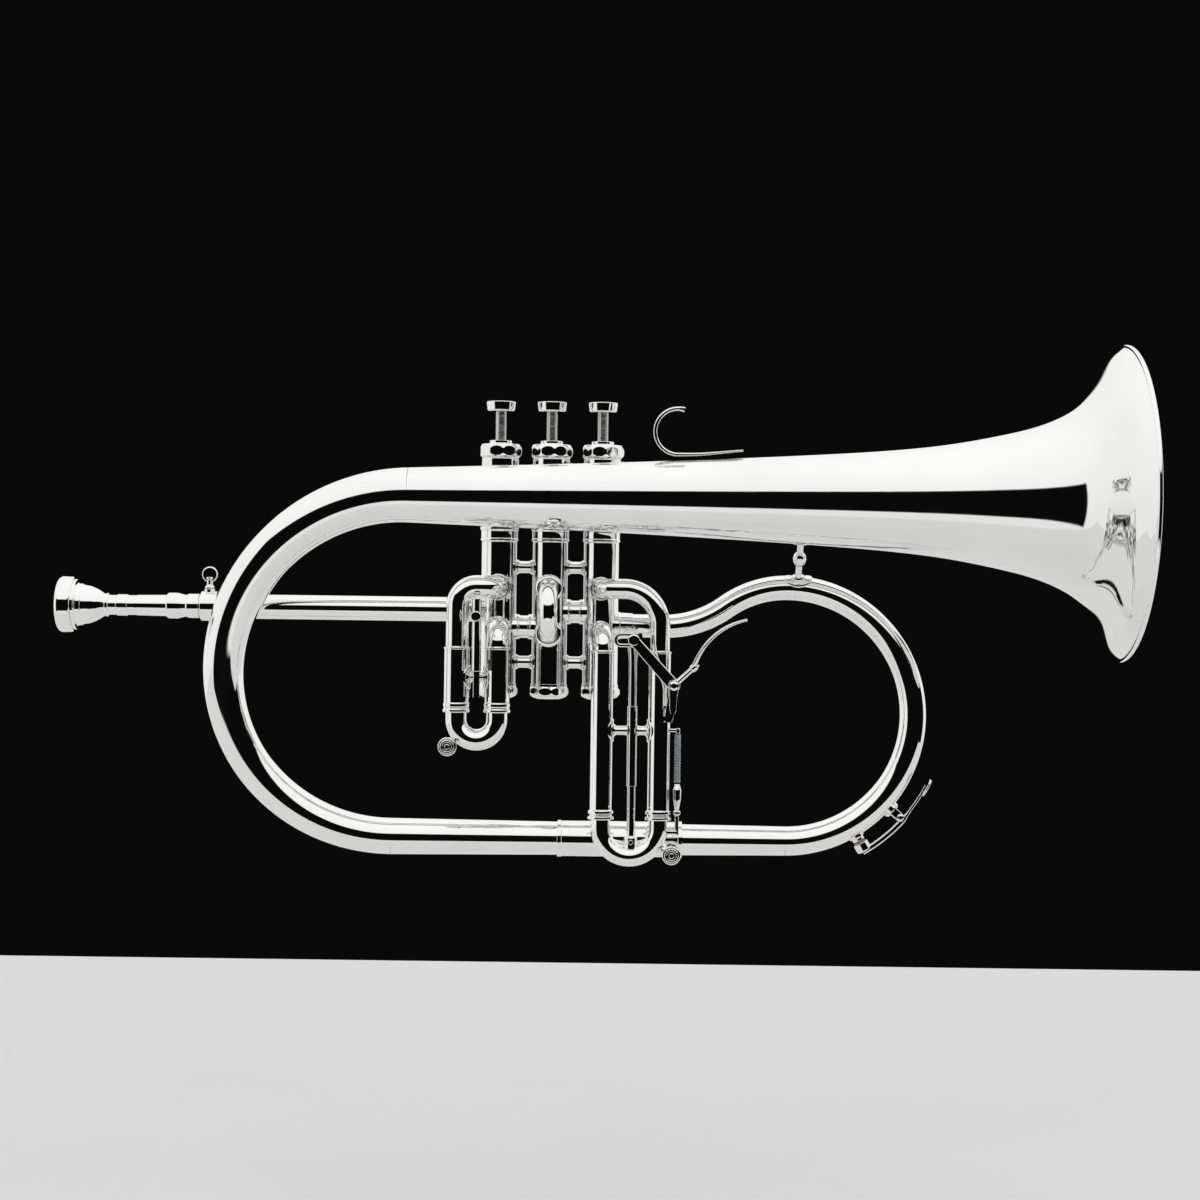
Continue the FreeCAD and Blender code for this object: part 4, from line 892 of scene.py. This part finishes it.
COLLAR = span("clamp_collar")
collar = ring_of([(COLLAR[0][0], 6.2), (COLLAR[0][0], 7.3), (COLLAR[1][0], 7.3), (COLLAR[1][0], 6.2)],
                 (0, 0, 0), X, 72, fillet=0.5)
CLAMP_X = middle("clamp_screw")[0]
lug = bar_of([(5.9, 0), (5.9, 3.0), (6.6, 2.6), (8.6, 2.6), (8.6, 0)], (CLAMP_X, 0, 0), Z, 48)
fitting("pipe_clamp", "clamp_collar", collar, lug)
post = bar_of([(7.0, 0), (7.0, 1.0), (8.9, 1.0), (8.9, 2.4), (9.6, 2.3), (10.4, 1.5), (13.0, 1.4), (13.4, 1.9),
               (14.2, 1.9), (14.4, 0)], (CLAMP_X, 0, 0), Z, 40)
wing = bar_of([(-0.9, 0), (-0.9, 3.4), (-0.5, 3.9), (0.5, 3.9), (0.9, 3.4), (0.9, 0)],
              (CLAMP_X, 0, 15.6), Y, 64)
fitting("clamp_thumbscrew", "clamp_screw", post, wing, body="clamp_screw")
print("mouthpiece rim", 2 * 13.9, "mm across")

# %% [markdown]
# ## The three valve slides
# Each slide has two fixed outer legs and an inner crook that slides in them. Each outer leg ends in
# a bead, a groove and a flared collar, and a thin ring hides the joint with the knuckle above it.
# The knuckles are pulled bends, so they are tubes carried along a route of runs and arcs.

# %% Fixed tubes of the first and third slides
SLIDE_Y = middle("first_slide")[1]
FIRST_LEGS = (-44.1, -24.4)
THIRD_LEGS = (26.3, 54.0)


def leg(x, top, end, outer, bore, ring_r):
    """A leg's outline from its ring at the top to the bead, groove and flared collar at its end."""
    outline = [(end, bore), (end, ring_r - 0.25), (end + 0.5, ring_r), (end + 1.5, ring_r - 0.1),
               (end + 1.9, outer + 0.1), (end + 2.5, outer + 0.1), (end + 2.9, ring_r - 0.25),
               (end + 4.3, ring_r - 0.25), (end + 4.7, outer), (top - 0.5, outer), (top - 0.4, outer + 0.35),
               (top + 0.4, outer + 0.35), (top + 0.5, outer - 0.3), (top + 0.9, outer - 0.5), (top + 0.9, bore)]
    return ring_of(outline, (x, SLIDE_Y, 0), Z, 72, fillet=0.25)


def knuckle(corners, bend, outer, axis):
    """A bent tube from a casing, with its flange there."""
    path = route(corners, bend)
    lead = np.array([[axis, -9.3, corners[0][2]]])
    path = np.concatenate([path[:1], lead, path[1:]])
    turn = np.sign(corners[-1][0] - axis)
    facing = (-turn, 1, -1) if turn else (1, 0, 0)
    bent = seated_tube(path, np.full(len(path), outer), 0.6, axis * X, -Y, facing=facing)
    lip = flange((axis, -8.0, corners[0][2]), -Y, outer + 0.95, outer - 0.1, axis * X, length=4.2, lip=1.4)
    return [bent, lip]


def fixed_tubes(axis, legs, ports, top, end, outer, bore, ring_r, bends):
    """Two knuckles and two legs; the leg farther from the valve takes the upper knuckle."""
    near, far = sorted(legs, key=lambda x: abs(x - axis))
    upper = [(axis, -5.5, ports[0]), (axis, SLIDE_Y, ports[0]), (far, SLIDE_Y, ports[0]), (far, SLIDE_Y, top)]
    lower = [(axis, -5.5, ports[1]), (axis, SLIDE_Y, ports[1]), (axis, SLIDE_Y, top)]
    lower_x = near - axis
    low = knuckle(lower, 7.5, outer - 0.55, axis)
    if abs(lower_x) > 0.05:
        low = [(spots + np.clip((-spots[:, 1:2] - 9) / 11, 0, 1) * lower_x * X, sides) for spots, sides in low]
    return (knuckle(upper, bends, outer - 0.6, axis) + low
            + [leg(x, top, end, outer, bore, ring_r) for x in legs])


first = fixed_tubes(-PITCH, FIRST_LEGS, (11.2, -9.5), -18.5, -49.5, 6.15, 5.25, 6.75, (8.2, 9.4))
plated("first_slide_tubes", "first_slide_outer", *first)
third = fixed_tubes(PITCH, THIRD_LEGS, (11.0, -10.5), -19.5, -100.3, 5.45, 4.75, 6.55, (8.2, 17.4))
plated("third_slide_tubes", "third_slide_outer", *third)


def crook(legs, start, low, outer):
    """Down one leg, round a half circle and up the other."""
    radius = (legs[1] - legs[0]) / 2
    centre = np.array([(legs[0] + legs[1]) / 2, SLIDE_Y, low + outer + radius])
    left = straight((legs[0], SLIDE_Y, start), (legs[0], SLIDE_Y, centre[2] + 1), 12)
    right = straight((legs[1], SLIDE_Y, centre[2] + 1), (legs[1], SLIDE_Y, start), 12)
    return np.concatenate([left, arc(centre, -radius * X, -Z, 0, 180, 61), right])


first_path = crook(FIRST_LEGS, -22.0, span("first_slide")[0][2], 5.2)
plated("first_crook", "first_slide", tube(first_path, 5.2), body="first_slide")
third_path = crook(THIRD_LEGS, -24.0, span("third_slide")[0][2], 4.7)
plated("third_crook", "third_slide", tube(third_path, 4.7), body="third_slide")
print("fixed tubes:", COUNTS["first_slide_tubes"], COUNTS["third_slide_tubes"], "faces")

# %% [markdown]
# ## The second slide
# The middle valve's slide is short and points straight forward. A domed flange ring ends each of
# its two fixed tubes.

# %% Second slide
SECOND_Z = 10.8
CROOK_Y = -31.0
second = []
for z in (SECOND_Z, -SECOND_Z):
    path = np.concatenate([straight((0, -5.5, z), (0, -9.2, z)), straight((0, -10.5, z), (0, -23.5, z), 6)])
    second.append(seated_tube(path, np.full(len(path), 5.4), 0.7, 0 * X, -Y, facing=X))
    second.append(flange((0, -8.0, z), -Y, 6.5, 5.3, 0 * X, length=3.6, lip=1.4))
    dome = [(-20.6, 4.7), (-20.6, 5.7), (-21.2, 6.5), (-22.2, 6.8), (-23.1, 6.5), (-23.8, 5.7), (-24.0, 4.7)]
    second.append(ring_of([(-t, r) for t, r in dome], (0, 0, z), -Y, 72, fillet=0.5))
plated("second_slide_tubes", "second_slide_outer", *second)
second_path = np.concatenate([straight((0, -12, SECOND_Z), (0, CROOK_Y + 0.8, SECOND_Z), 8),
                              arc((0, CROOK_Y, 0), SECOND_Z * Z, -Y, 0, 180, 61),
                              straight((0, CROOK_Y + 0.8, -SECOND_Z), (0, -12, -SECOND_Z), 8)])
plated("second_crook", "second_slide", tube(second_path, 4.6, facing=X), body="second_slide")
print("the second crook reaches y =", round(CROOK_Y - SECOND_Z - 4.6, 1), "mm")

# %% [markdown]
# ## Braces and stays of the slides
# A thin round flange bent to the tube spreads a brace's pull, so that the tube isn't dented. The
# third slide's brace also carries the guide of the push rod, and two stays run back to the sleeve.

# %% Slide braces, stays and the push rod's guide
FIRST_BRACE_Z = -32.5
THIRD_BRACE_Z = -57.3
ROD_X = middle("push_rod_guide")[0]
stays = []
for legs, z, tube_r, foot_r, bar_r in ((FIRST_LEGS, FIRST_BRACE_Z, 6.15, 6.0, 2.4),
                                       (THIRD_LEGS, THIRD_BRACE_Z, 5.45, 5.6, 2.4)):
    for x, way in ((legs[0], 1), (legs[1], -1)):
        stays.append(wrapped(foot(foot_r, bar_r, 0.6, 0.9), (x, SLIDE_Y, z), way * X, Z, tube_r))
    if tube_r > 6:
        stays.append(brace((legs[0] + tube_r, SLIDE_Y, z), (legs[1] - tube_r, SLIDE_Y, z), 2.2, 2.7))
    else:
        stays.append(brace((legs[0] + tube_r, SLIDE_Y, z), (ROD_X - 2.2, SLIDE_Y, z), 2.2, 2.7))
        stays.append(brace((ROD_X + 2.2, SLIDE_Y, z), (legs[1] - tube_r, SLIDE_Y, z), 2.2, 2.7))
STAY_Z = -90.5
for x in THIRD_LEGS:
    top, low = np.array([x, SLIDE_Y, STAY_Z]), np.array([x, 0, BOTTOM_Z])
    towards = unit(low - top)
    stays.append(brace(top + towards * 5.9, low - towards * 8.9, 1.6, 2.1))
    stays.append(wrapped(foot(5.2, 1.8, 0.6, 1.0), low, -towards, X, 9.0))
    stays.append(wrapped(foot(3.4, 1.8, 0.6, 0.8), top, towards, np.cross(towards, X), 5.6))
fitting("slide_stays", "slide_braces", *stays)

GUIDE = span("push_rod_guide")
guide = [(GUIDE[0][2], 2.05), (GUIDE[0][2], 2.45), (GUIDE[1][2], 2.45), (GUIDE[1][2], 2.05)]
fit(piece("rod_guide_tube", ring_of(guide, (ROD_X, SLIDE_Y, 0), Z, 48, fillet=0.15)), FITTING, "horn",
    "silver_fittings", "push_rod_guide")

ROD = span("push_rod")
HEAD_Z = -13.6
HEAD_Y = -24.5
rod_outline = [(-115.0, 0), (-115.0, 2.9), (-114.5, 3.2), (-109.0, 3.2), (-108.5, 2.7), (-108.3, 2.0),
               (-24.0, 2.0), (-18.5, 2.6), (-16.4, 2.9), (-16.0, 0)]
shaft = bar_of(rod_outline, (ROD_X, SLIDE_Y, 0), Z, 48)
set_screw = bar_of([(0, 0), (0, 1.2), (3.9, 1.2), (3.9, 0)], (ROD_X, SLIDE_Y, -111.0), -Y, 32)
fork_path = route([(43.6, HEAD_Y, HEAD_Z + 2.6), (32.5, HEAD_Y, HEAD_Z + 2.6), (32.5, HEAD_Y, HEAD_Z - 2.6),
                   (43.6, HEAD_Y, HEAD_Z - 2.6)], 2.5)
fork = shell(swept(fork_path, 1.5, 0.85, 4.0, facing=Y, around=32))
head_path = straight((43.9, HEAD_Y - 1.4, HEAD_Z), (43.9, SLIDE_Y + 1.4, HEAD_Z), 6)
head = shell(swept(head_path, 1.5, 3.5, 4.0, facing=X, around=40))
neck_path = straight((41.0, -22.9, HEAD_Z - 1.5), (41.0, -18.6, HEAD_Z - 1.5), 6)
neck = shell(swept(neck_path, 2.6, 2.4, 4.0, facing=X, around=40))
fitting("third_slide_push_rod", "push_rod", shaft, set_screw, fork, head, neck, body="third_slide")
print("push rod from z =", round(ROD[0][2], 1), "to", round(ROD[1][2], 1), "mm")

# %% [markdown]
# ## The push-button water keys
# Breath leaves water in the crooks. A small barrel on each crook holds a spring-loaded button, and
# pushing it opens a drain. The barrel's lip and the button show as rings one inside the other.

# %% Push keys


def key_barrel(node, crook_centre):
    """The barrel, its lip, and the short neck down to the crook."""
    x, _, z = middle(node)
    body = ring_of([(-5.2, 3.5), (-5.2, 4.1), (-4.8, 4.55), (3.8, 4.55), (4.6, 4.0), (4.6, 1.0), (3.6, 1.0),
                    (3.6, 3.5)], (x, SLIDE_Y, z), Y, 64)
    spot = np.array([x, SLIDE_Y, z])
    to_crook = crook_centre - spot
    reach = np.linalg.norm(to_crook)
    neck = shell(swept(straight(spot + unit(to_crook) * 3.8, spot + unit(to_crook) * 6.4, 6),
                       np.linspace(2.3, 3.1, 6), facing=Y, around=40))
    return body, neck, reach


def key_button(node):
    """A button with a ring groove round its face, and its plunger."""
    x, _, z = middle(node)
    low = span(node)[0][1]
    return bar_of([(low, 0), (low, 1.1), (low + 0.3, 1.3), (low + 0.3, 2.2), (low, 2.4), (low + 0.1, 3.2),
                   (low + 0.5, 3.42), (SLIDE_Y - 1.0, 3.42), (SLIDE_Y - 1.0, 2.2), (SLIDE_Y + 1.2, 2.2),
                   (SLIDE_Y + 1.2, 0)], (x, 0, z), Y, 64, fillet=0.2)


for name, legs, low, tube_r in (("first", FIRST_LEGS, -68.0, 5.2), ("third", THIRD_LEGS, -123.0, 4.7)):
    radius = (legs[1] - legs[0]) / 2
    centre = np.array([(legs[0] + legs[1]) / 2, SLIDE_Y, low + tube_r + radius])
    body, neck, reach = key_barrel(name + "_key_button", centre)
    fitting(name + "_key_barrel", name + "_key_body", body, neck, body=name + "_slide")
    fit(piece(name + "_key_plunger", key_button(name + "_key_button")), FITTING, name + "_key",
        "silver_fittings", name + "_key_button")
    print(name, "key stands", round(float(reach), 1), "mm from the crook's centre")

# %% [markdown]
# ## The third slide's trigger
# Squeezing the curved paddle turns the lever about its screw, and the lever's pin pushes the rod
# down. The plate parts are strip with rounded edges, so their section is a squarish oval carried
# along a path; the return spring is a long open coil that hooks on the crook.

# %% Trigger bracket, lever, screw and return spring
PIVOT = np.array([60.6, 0, -35.1])


def strip(path, wide, thick, square=5.0, facing=Y, around=40):
    """Flat strip: a squarish section, wide across facing, thick across the other side."""
    return shell(swept(path, wide, thick, square, facing, around))


rear_side = through([(58.4, -25.7, -52.9), (58.9, -25.7, -47.0), (60.2, -25.7, -40.0),
                     (60.6, -25.7, -32.6)], 24)
front_side = through([(60.2, -30.3, -48.6), (60.3, -30.3, -42.0), (60.6, -30.3, -32.6)], 20)
side_share = [0, 0.1, 0.6, 0.9, 1]
bracket = [strip(rear_side, 0.75, np.interp(np.linspace(0, 1, 24), side_share, [1.5, 2.1, 2.2, 2.7, 1.6])),
           strip(front_side, 0.7, np.interp(np.linspace(0, 1, 20), side_share, [1.0, 1.6, 1.9, 2.7, 1.6])),
           strip(straight((60.2, -30.6, -47.2), (59.6, -25.6, -47.4), 8), 1.3, 1.6, facing=X),
           strip(straight((58.2, -26.0, -51.0), (56.6, -21.5, -51.4), 8), 1.7, 1.5, facing=X),
           strip(straight((58.4, -25.9, -46.0), (57.6, -22.2, -46.0), 8), 1.4, 1.5, facing=X)]
fitting("trigger_fork", "trigger_bracket", *bracket)


def screw(place, along, length, shank, head_r, head_t):
    """A shank and a domed head, turned about the screw's own axis."""
    return bar_of([(-head_t, 0), (-head_t, head_r * 0.55), (-head_t * 0.55, head_r), (-0.05, head_r),
                   (0, shank), (length, shank), (length, 0)], place, along, 40, fillet=0.2)


KEY_ANGLE = -41.4
KEY_PIVOT = RIGHT_CENTRE + 75.2 * (np.cos(np.radians(KEY_ANGLE)) * X + np.sin(np.radians(KEY_ANGLE)) * Z)
fitting("pivot_screw_set", "pivot_screws", screw(PIVOT - 31.05 * Y, Y, 6.1, 1.2, 2.3, 1.15),
        screw(KEY_PIVOT - 3.95 * Y, Y, 7.8, 0.85, 1.7, 0.75))

EYE = np.array([41.2, -28.0, HEAD_Z])
hub = bar_of([(-29.2, 0), (-29.2, 2.6), (-28.9, 3.1), (-27.1, 3.1), (-26.8, 2.7), (-26.8, 0)], PIVOT, Y, 48)
eye = bar_of([(-29.2, 0), (-29.2, 2.3), (-28.9, 2.9), (-27.1, 2.9), (-26.8, 2.4), (-26.8, 1.0),
              (-22.9, 1.0), (-22.9, 0)], (EYE[0], 0, EYE[2]), Y, 48)
plate_path = straight(EYE + (1.0, 0, -1.2), PIVOT - 28.0 * Y, 20)
plate = strip(plate_path, 1.1, np.linspace(2.6, 3.0, 20), 6.0)
arm_path = straight(PIVOT - 28.0 * Y, (72.0, -28.0, -24.5), 8)
arm = shell(swept(arm_path, 1.3, facing=Y, around=32))
arm_way = unit(arm_path[-1] - arm_path[0])
knob = bar_of([(0, 0), (0, 1.5), (0.6, 1.9), (2.8, 1.9), (3.4, 1.5), (3.4, 0)],
              (68.8, -28.0, -27.5), arm_way, 40)
angles = np.linspace(163.0, 101.5, 40)
share = np.linspace(0, 1, 40)
finger = np.stack([102 + 33.5 * np.cos(np.radians(angles)), np.full(40, -28.0),
                   -36 + 33.5 * np.sin(np.radians(angles))], 1)
paddle = strip(finger, np.interp(share, [0, 0.06, 0.3, 0.9, 0.97, 1], [1.4, 2.0, 4.2, 5.4, 4.6, 2.8]),
               np.interp(share, [0, 0.3, 1], [1.3, 1.0, 0.7]), 3.2)
fitting("trigger_paddle", "trigger_lever", hub, eye, plate, arm, knob, paddle, body="trigger")

SPRING_X = middle("return_spring")[0]
spring_low, spring_high = span("return_spring")[0][2], span("return_spring")[1][2]
return_coil = coil(spring_low, spring_high, 1.6, 0.24, 30, SPRING_X, SLIDE_Y, 0.0, 10)
fit(piece("slide_return_spring", return_coil), WIRE, "horn", "spring_steel", "return_spring")
anchor_path = straight((58.9, SLIDE_Y, -57.0), (SPRING_X + 0.4, SLIDE_Y, -57.0), 8)
post = bar_of([(-58.5, 0), (-58.5, 1.1), (-56.0, 1.1), (-55.8, 0)], (SPRING_X, SLIDE_Y, 0), Z, 32)
fitting("spring_top_lug", "spring_anchor", strip(anchor_path, 0.8, 0.8, 3.0), post)
HOOK_LOW, HOOK_HIGH = span("spring_hook")[0][2], span("spring_hook")[1][2]
leaf = [(HOOK_LOW, 0), (HOOK_LOW, 1.0), (HOOK_LOW + 9.5, 1.0), (HOOK_LOW + 10.0, 1.8), (HOOK_LOW + 11.4, 1.8),
        (HOOK_LOW + 11.9, 1.0), (HOOK_LOW + 17.0, 1.9), (HOOK_HIGH - 3.0, 2.1), (HOOK_HIGH, 1.2), (HOOK_HIGH, 0)]
foot_path = straight((SPRING_X, SLIDE_Y, HOOK_LOW + 1.2), (58.2, SLIDE_Y, HOOK_LOW + 1.2), 8)
hook_foot = strip(foot_path, 1.2, 1.2, 3.0)
fitting("spring_leaf_hook", "spring_hook", bar_of(leaf, (SPRING_X, SLIDE_Y, 0), Z, 40), hook_foot,
        body="third_slide")
print("trigger pieces:", COUNTS["trigger_fork"], COUNTS["trigger_paddle"], "faces")

# %% [markdown]
# ## The lever water key
# On the right bow a longer lever key drains the lowest point. A cork in its cup closes a nipple, a
# forked post holds its pin, and a small spring wound round the pin keeps it shut.

# %% Water key on the right bow


def bow_point(angle, radius, y=0.0):
    """The point at an angle and distance from the centre of the right bow."""
    a = np.radians(angle)
    return np.stack([RIGHT_X + radius * np.cos(a), y + 0 * a, RIGHT_CENTRE[2] + radius * np.sin(a)], -1)


CORK_ANGLE = -59.2
KEY_TIP_ANGLE = -23.6
cork_way = unit(bow_point(CORK_ANGLE, 2.0) - bow_point(CORK_ANGLE, 1.0))
pivot_way = unit(KEY_PIVOT - RIGHT_CENTRE)
nipple = ring_of([(66.5, 1.6), (66.5, 3.9), (69.7, 3.9), (70.2, 3.0), (71.5, 3.0), (71.8, 2.6), (71.8, 1.6)],
                 RIGHT_CENTRE, cork_way, 56)
fitting("drain_nipple", "key_nipple", nipple)
base = bar_of([(67.2, 0), (67.2, 4.2), (70.2, 4.2), (70.9, 3.7), (71.2, 3.2), (71.2, 0)],
              RIGHT_CENTRE, pivot_way, 56)
ears = []
for y in (-3.3, 3.3):
    root = RIGHT_CENTRE + pivot_way * 70.0 + y * Y
    ears.append(strip(straight(root, KEY_PIVOT + pivot_way * 1.9 + y * Y, 14), 0.6,
                      np.interp(np.linspace(0, 1, 14), [0, 0.7, 0.9, 1], [2.1, 2.1, 1.7, 0.8]), 4.0))
fitting("key_fork", "key_saddle", base, *ears)
arm_angles = np.linspace(CORK_ANGLE - 1, KEY_TIP_ANGLE - 2.5, 60)
arm_end = KEY_TIP_ANGLE - 2
arm_r = np.interp(arm_angles, [CORK_ANGLE, KEY_ANGLE, KEY_ANGLE + 5, arm_end], [77.4, 77.4, 77.0, 77.2])
arm_thick = np.interp(arm_angles, [CORK_ANGLE, KEY_ANGLE, KEY_ANGLE + 3, arm_end], [1.4, 1.4, 0.75, 0.7])
arm_wide = np.interp(arm_angles, [CORK_ANGLE, CORK_ANGLE + 4, KEY_ANGLE, KEY_ANGLE + 3], [2.2, 1.9, 2.0, 1.5])
key_arm = strip(bow_point(arm_angles, arm_r), arm_wide, arm_thick, 4.0)
pad_angles = np.linspace(-30.0, KEY_TIP_ANGLE, 26)
pad_wide = np.interp(np.linspace(0, 1, 26), [0, 0.1, 0.35, 0.75, 0.95, 1], [1.4, 2.2, 3.7, 4.0, 3.2, 1.8])
pad_shell = strip(bow_point(pad_angles, 78.0), pad_wide, 0.75, 3.2)
key_hub = bar_of([(-2.3, 0), (-2.3, 1.8), (-2.0, 2.0), (2.0, 2.0), (2.3, 1.8), (2.3, 0)], KEY_PIVOT, Y, 40)
cup = ring_of([(72.9, 3.0), (72.9, 3.75), (77.0, 3.75), (77.5, 3.1), (77.6, 0.2), (75.6, 0.2), (75.6, 3.0)],
              RIGHT_CENTRE, cork_way, 56)
fitting("key_lever_arm", "key_lever", key_arm, pad_shell, key_hub, cup, body="water_key")
cork_disc = bar_of([(72.1, 0), (72.1, 2.7), (72.4, 2.95), (75.5, 2.95), (75.5, 0)], RIGHT_CENTRE, cork_way, 48)
fit(piece("key_cork_disc", cork_disc), CORK, "water_key", "cork", "key_cork")
print("water key pivot at", KEY_PIVOT.round(1))

# %% [markdown]
# ## Finger hook, bell stay and lyre tube
# The little finger of the right hand rests in a curled strip on the bell. A turned stay with a ball
# ties the bell to the right bow, and a small open tube on the first slide's brace takes a music lyre.

# %% Fittings
HOOK_CENTRE = np.array([61.1, BELL_AXIS[1], 86.6])
curl = arc(HOOK_CENTRE, 11.0 * X, Z, 74, 270, 60)
flat_foot = through([(61.1, BELL_AXIS[1], 75.6), (70, BELL_AXIS[1], 75.75), (80, BELL_AXIS[1], 76.6),
                     (92.4, BELL_AXIS[1], 77.9)], 26)
hook_path = np.concatenate([curl, flat_foot[1:]])
hook_share = np.linspace(0, 1, len(hook_path))
hook = strip(hook_path, np.interp(hook_share, [0, 0.04, 0.7, 0.97, 1], [2.6, 3.6, 3.9, 4.0, 2.6]),
             np.interp(hook_share, [0, 0.05, 0.7, 1], [1.3, 1.1, 1.0, 0.55]), 4.0)
fitting("finger_hook_strip", "finger_hook", hook)

STAY_X = 121.8
bell_spot = np.array([STAY_X, BELL_AXIS[1], BELL_AXIS[2]])
bow_spot = np.array([STAY_X, 0, 12.0])
stay_way = unit(bow_spot - bell_spot)
bell_r, bow_r = 21.75, 6.4
length = float(np.linalg.norm(bow_spot - bell_spot))
half = (length + bell_r - bow_r) / 2
rod_shape = [(bell_r - 0.5, 0), (bell_r - 0.5, 2.6), (bell_r + 1.0, 1.9), (bell_r + 2.2, 1.6), (half - 3.6, 1.6),
             (half - 3.2, 2.1), (half - 2.0, 3.0), (half, 3.4), (half + 2.0, 3.0), (half + 3.2, 2.1),
             (half + 3.6, 1.6), (length - bow_r - 2.2, 1.6), (length - bow_r - 1.0, 1.9), (length - bow_r, 2.6),
             (length - bow_r, 0)]
stay_rod = bar_of(rod_shape, bell_spot, stay_way, 56, fillet=0.7)
stay_feet = [wrapped(foot(5.0, 2.2, 0.7, 0.9), bell_spot, stay_way, X, bell_r),
             wrapped(foot(5.6, 2.2, 0.7, 0.9), bow_spot, -stay_way, X, bow_r, stretch=1.25)]
fitting("bell_stay_turned", "bell_stay", stay_rod, *stay_feet)

LYRE_X, LYRE_Y = middle("lyre_screw")[0], -28.4
lyre_tube = ring_of([(-29.5, 1.35), (-29.5, 2.3), (5.5, 2.3), (5.5, 1.35)], (LYRE_X, LYRE_Y, 0), Z, 48)
lyre_tab = strip(straight((LYRE_X, LYRE_Y + 3.0, -42.0), (LYRE_X, LYRE_Y + 3.0, -24.0), 20), 0.95, 1.6, 4.0)
lyre_lug = bar_of([(1.8, 0), (1.8, 2.1), (2.4, 1.8), (4.0, 1.8), (4.0, 0)], (LYRE_X, LYRE_Y, -3.0), -Y, 40)
link_path = straight((LYRE_X, LYRE_Y + 3.0, -32.5), (LYRE_X, SLIDE_Y - 1.2, -32.5), 8)
lyre_link = strip(link_path, 1.5, 1.9, 4.0, facing=X)
fitting("lyre_tube", "lyre_holder", lyre_tube, lyre_tab, lyre_lug, lyre_link)


def knurl(count, depth):
    """A form for turned(): fine ridges, radius - depth * |sin(count * angle / 2)| on the widest part."""
    def form(distance, radius, angle):
        return radius - depth * np.abs(np.sin(count * angle / 2)) * (radius > 2.4)
    return form


thumb = [(1.6, 0), (1.6, 0.9), (5.6, 0.9), (5.6, 2.3), (6.0, 2.6), (8.2, 2.6), (8.6, 2.2), (8.6, 0)]
lyre_thumb = bar_of(thumb, (LYRE_X, LYRE_Y, -3.0), -Y, 96, knurl(24, 0.22))
fitting("lyre_thumbscrew", "lyre_screw", lyre_thumb, body="lyre_screw")
print("stay length", round(length - bell_r - bow_r, 1), "mm")

# %% [markdown]
# ## Floor, light and camera
# Silver has no look of its own: it shows the room. So the light is large and soft, with dark gaps
# between its panels, and those gaps give every tube its dark stripe. The world holds the panels,
# written by direction, and the floor is plain and pale.

# %% Stage


def smooth_world():
    """White panels above, below and at the sides, and darkness between them."""
    world = bpy.data.worlds.new("studio")
    bpy.context.scene.world = world
    world.use_nodes = True
    tree = world.node_tree
    start = Wire(tree)
    way = start.node("ShaderNodeTexCoord")
    parts = start.node("ShaderNodeSeparateXYZ", {}, {0: way})
    x, y, z = (Wire(tree, parts.socket.node.outputs[k]) for k in range(3))
    up = start.ramp(z, math.sin(math.radians(18.5)), math.sin(math.radians(20.5)))
    down = start.ramp(0 - z, math.sin(math.radians(25)), math.sin(math.radians(27)))
    azimuth = start.math("ARCTAN2", x, 0 - y)
    left = start.ramp(0 - azimuth, math.radians(51), math.radians(53))
    right = start.ramp(azimuth, math.radians(95), math.radians(98))
    behind = start.ramp(y, 0.80, 0.84)
    sides = start.math("MAXIMUM", left, right) * (1 - behind)
    white = start.math("MAXIMUM", start.math("MAXIMUM", up, down), sides)
    shade = 0.003 + white * (0.80 + 0.22 * start.ramp(z, -0.6, 1.0))
    background = tree.nodes["Background"]
    tree.links.new(shade.socket, background.inputs["Strength"])
    background.inputs["Color"].default_value = (1, 1, 1, 1)
    return world


smooth_world()


def floor_material():
    """A pale, rough floor with faint clouds."""
    made, shader, start, place = new_material("pale_floor")
    clouds = start.noise(place, 6.0, 3.0)
    feed(shader, "Base Color", start.blend(clouds, (0.80, 0.80, 0.80, 1), (0.74, 0.74, 0.74, 1)))
    feed(shader, "Roughness", 0.7 + 0.2 * clouds)
    return made


def floor():
    """One flat square, well under the horn."""
    mesh = bpy.data.meshes.new("floor")
    corners = [(-1.2, -0.45, -0.3), (1.25, -0.45, -0.3), (1.25, 0.75, -0.3), (-1.2, 0.75, -0.3)]
    mesh.from_pydata(corners, [], [(0, 1, 2, 3)])
    made = bpy.data.objects.new("floor", mesh)
    made.data.materials.append(floor_material())
    bpy.context.scene.collection.objects.link(made)


floor()
camera = bpy.data.cameras.new("camera")
camera.sensor_width = 36.0
camera.lens = 64.5
eye_point = bpy.data.objects.new("camera", camera)
eye_point.location = (0.0247, -1.0585, 0.0055)
eye_point.rotation_euler = (math.pi / 2, math.radians(-0.75), 0)
bpy.context.scene.collection.objects.link(eye_point)
bpy.context.scene.camera = eye_point
bpy.context.scene.view_settings.view_transform = "Standard"

# %% [markdown]
# ## Faces and the end
# The faces of all the pieces are counted and printed. The visual model has to stay inside
# the CAD model's box.

# %% Finish
print("faces in all:", sum(COUNTS.values()))
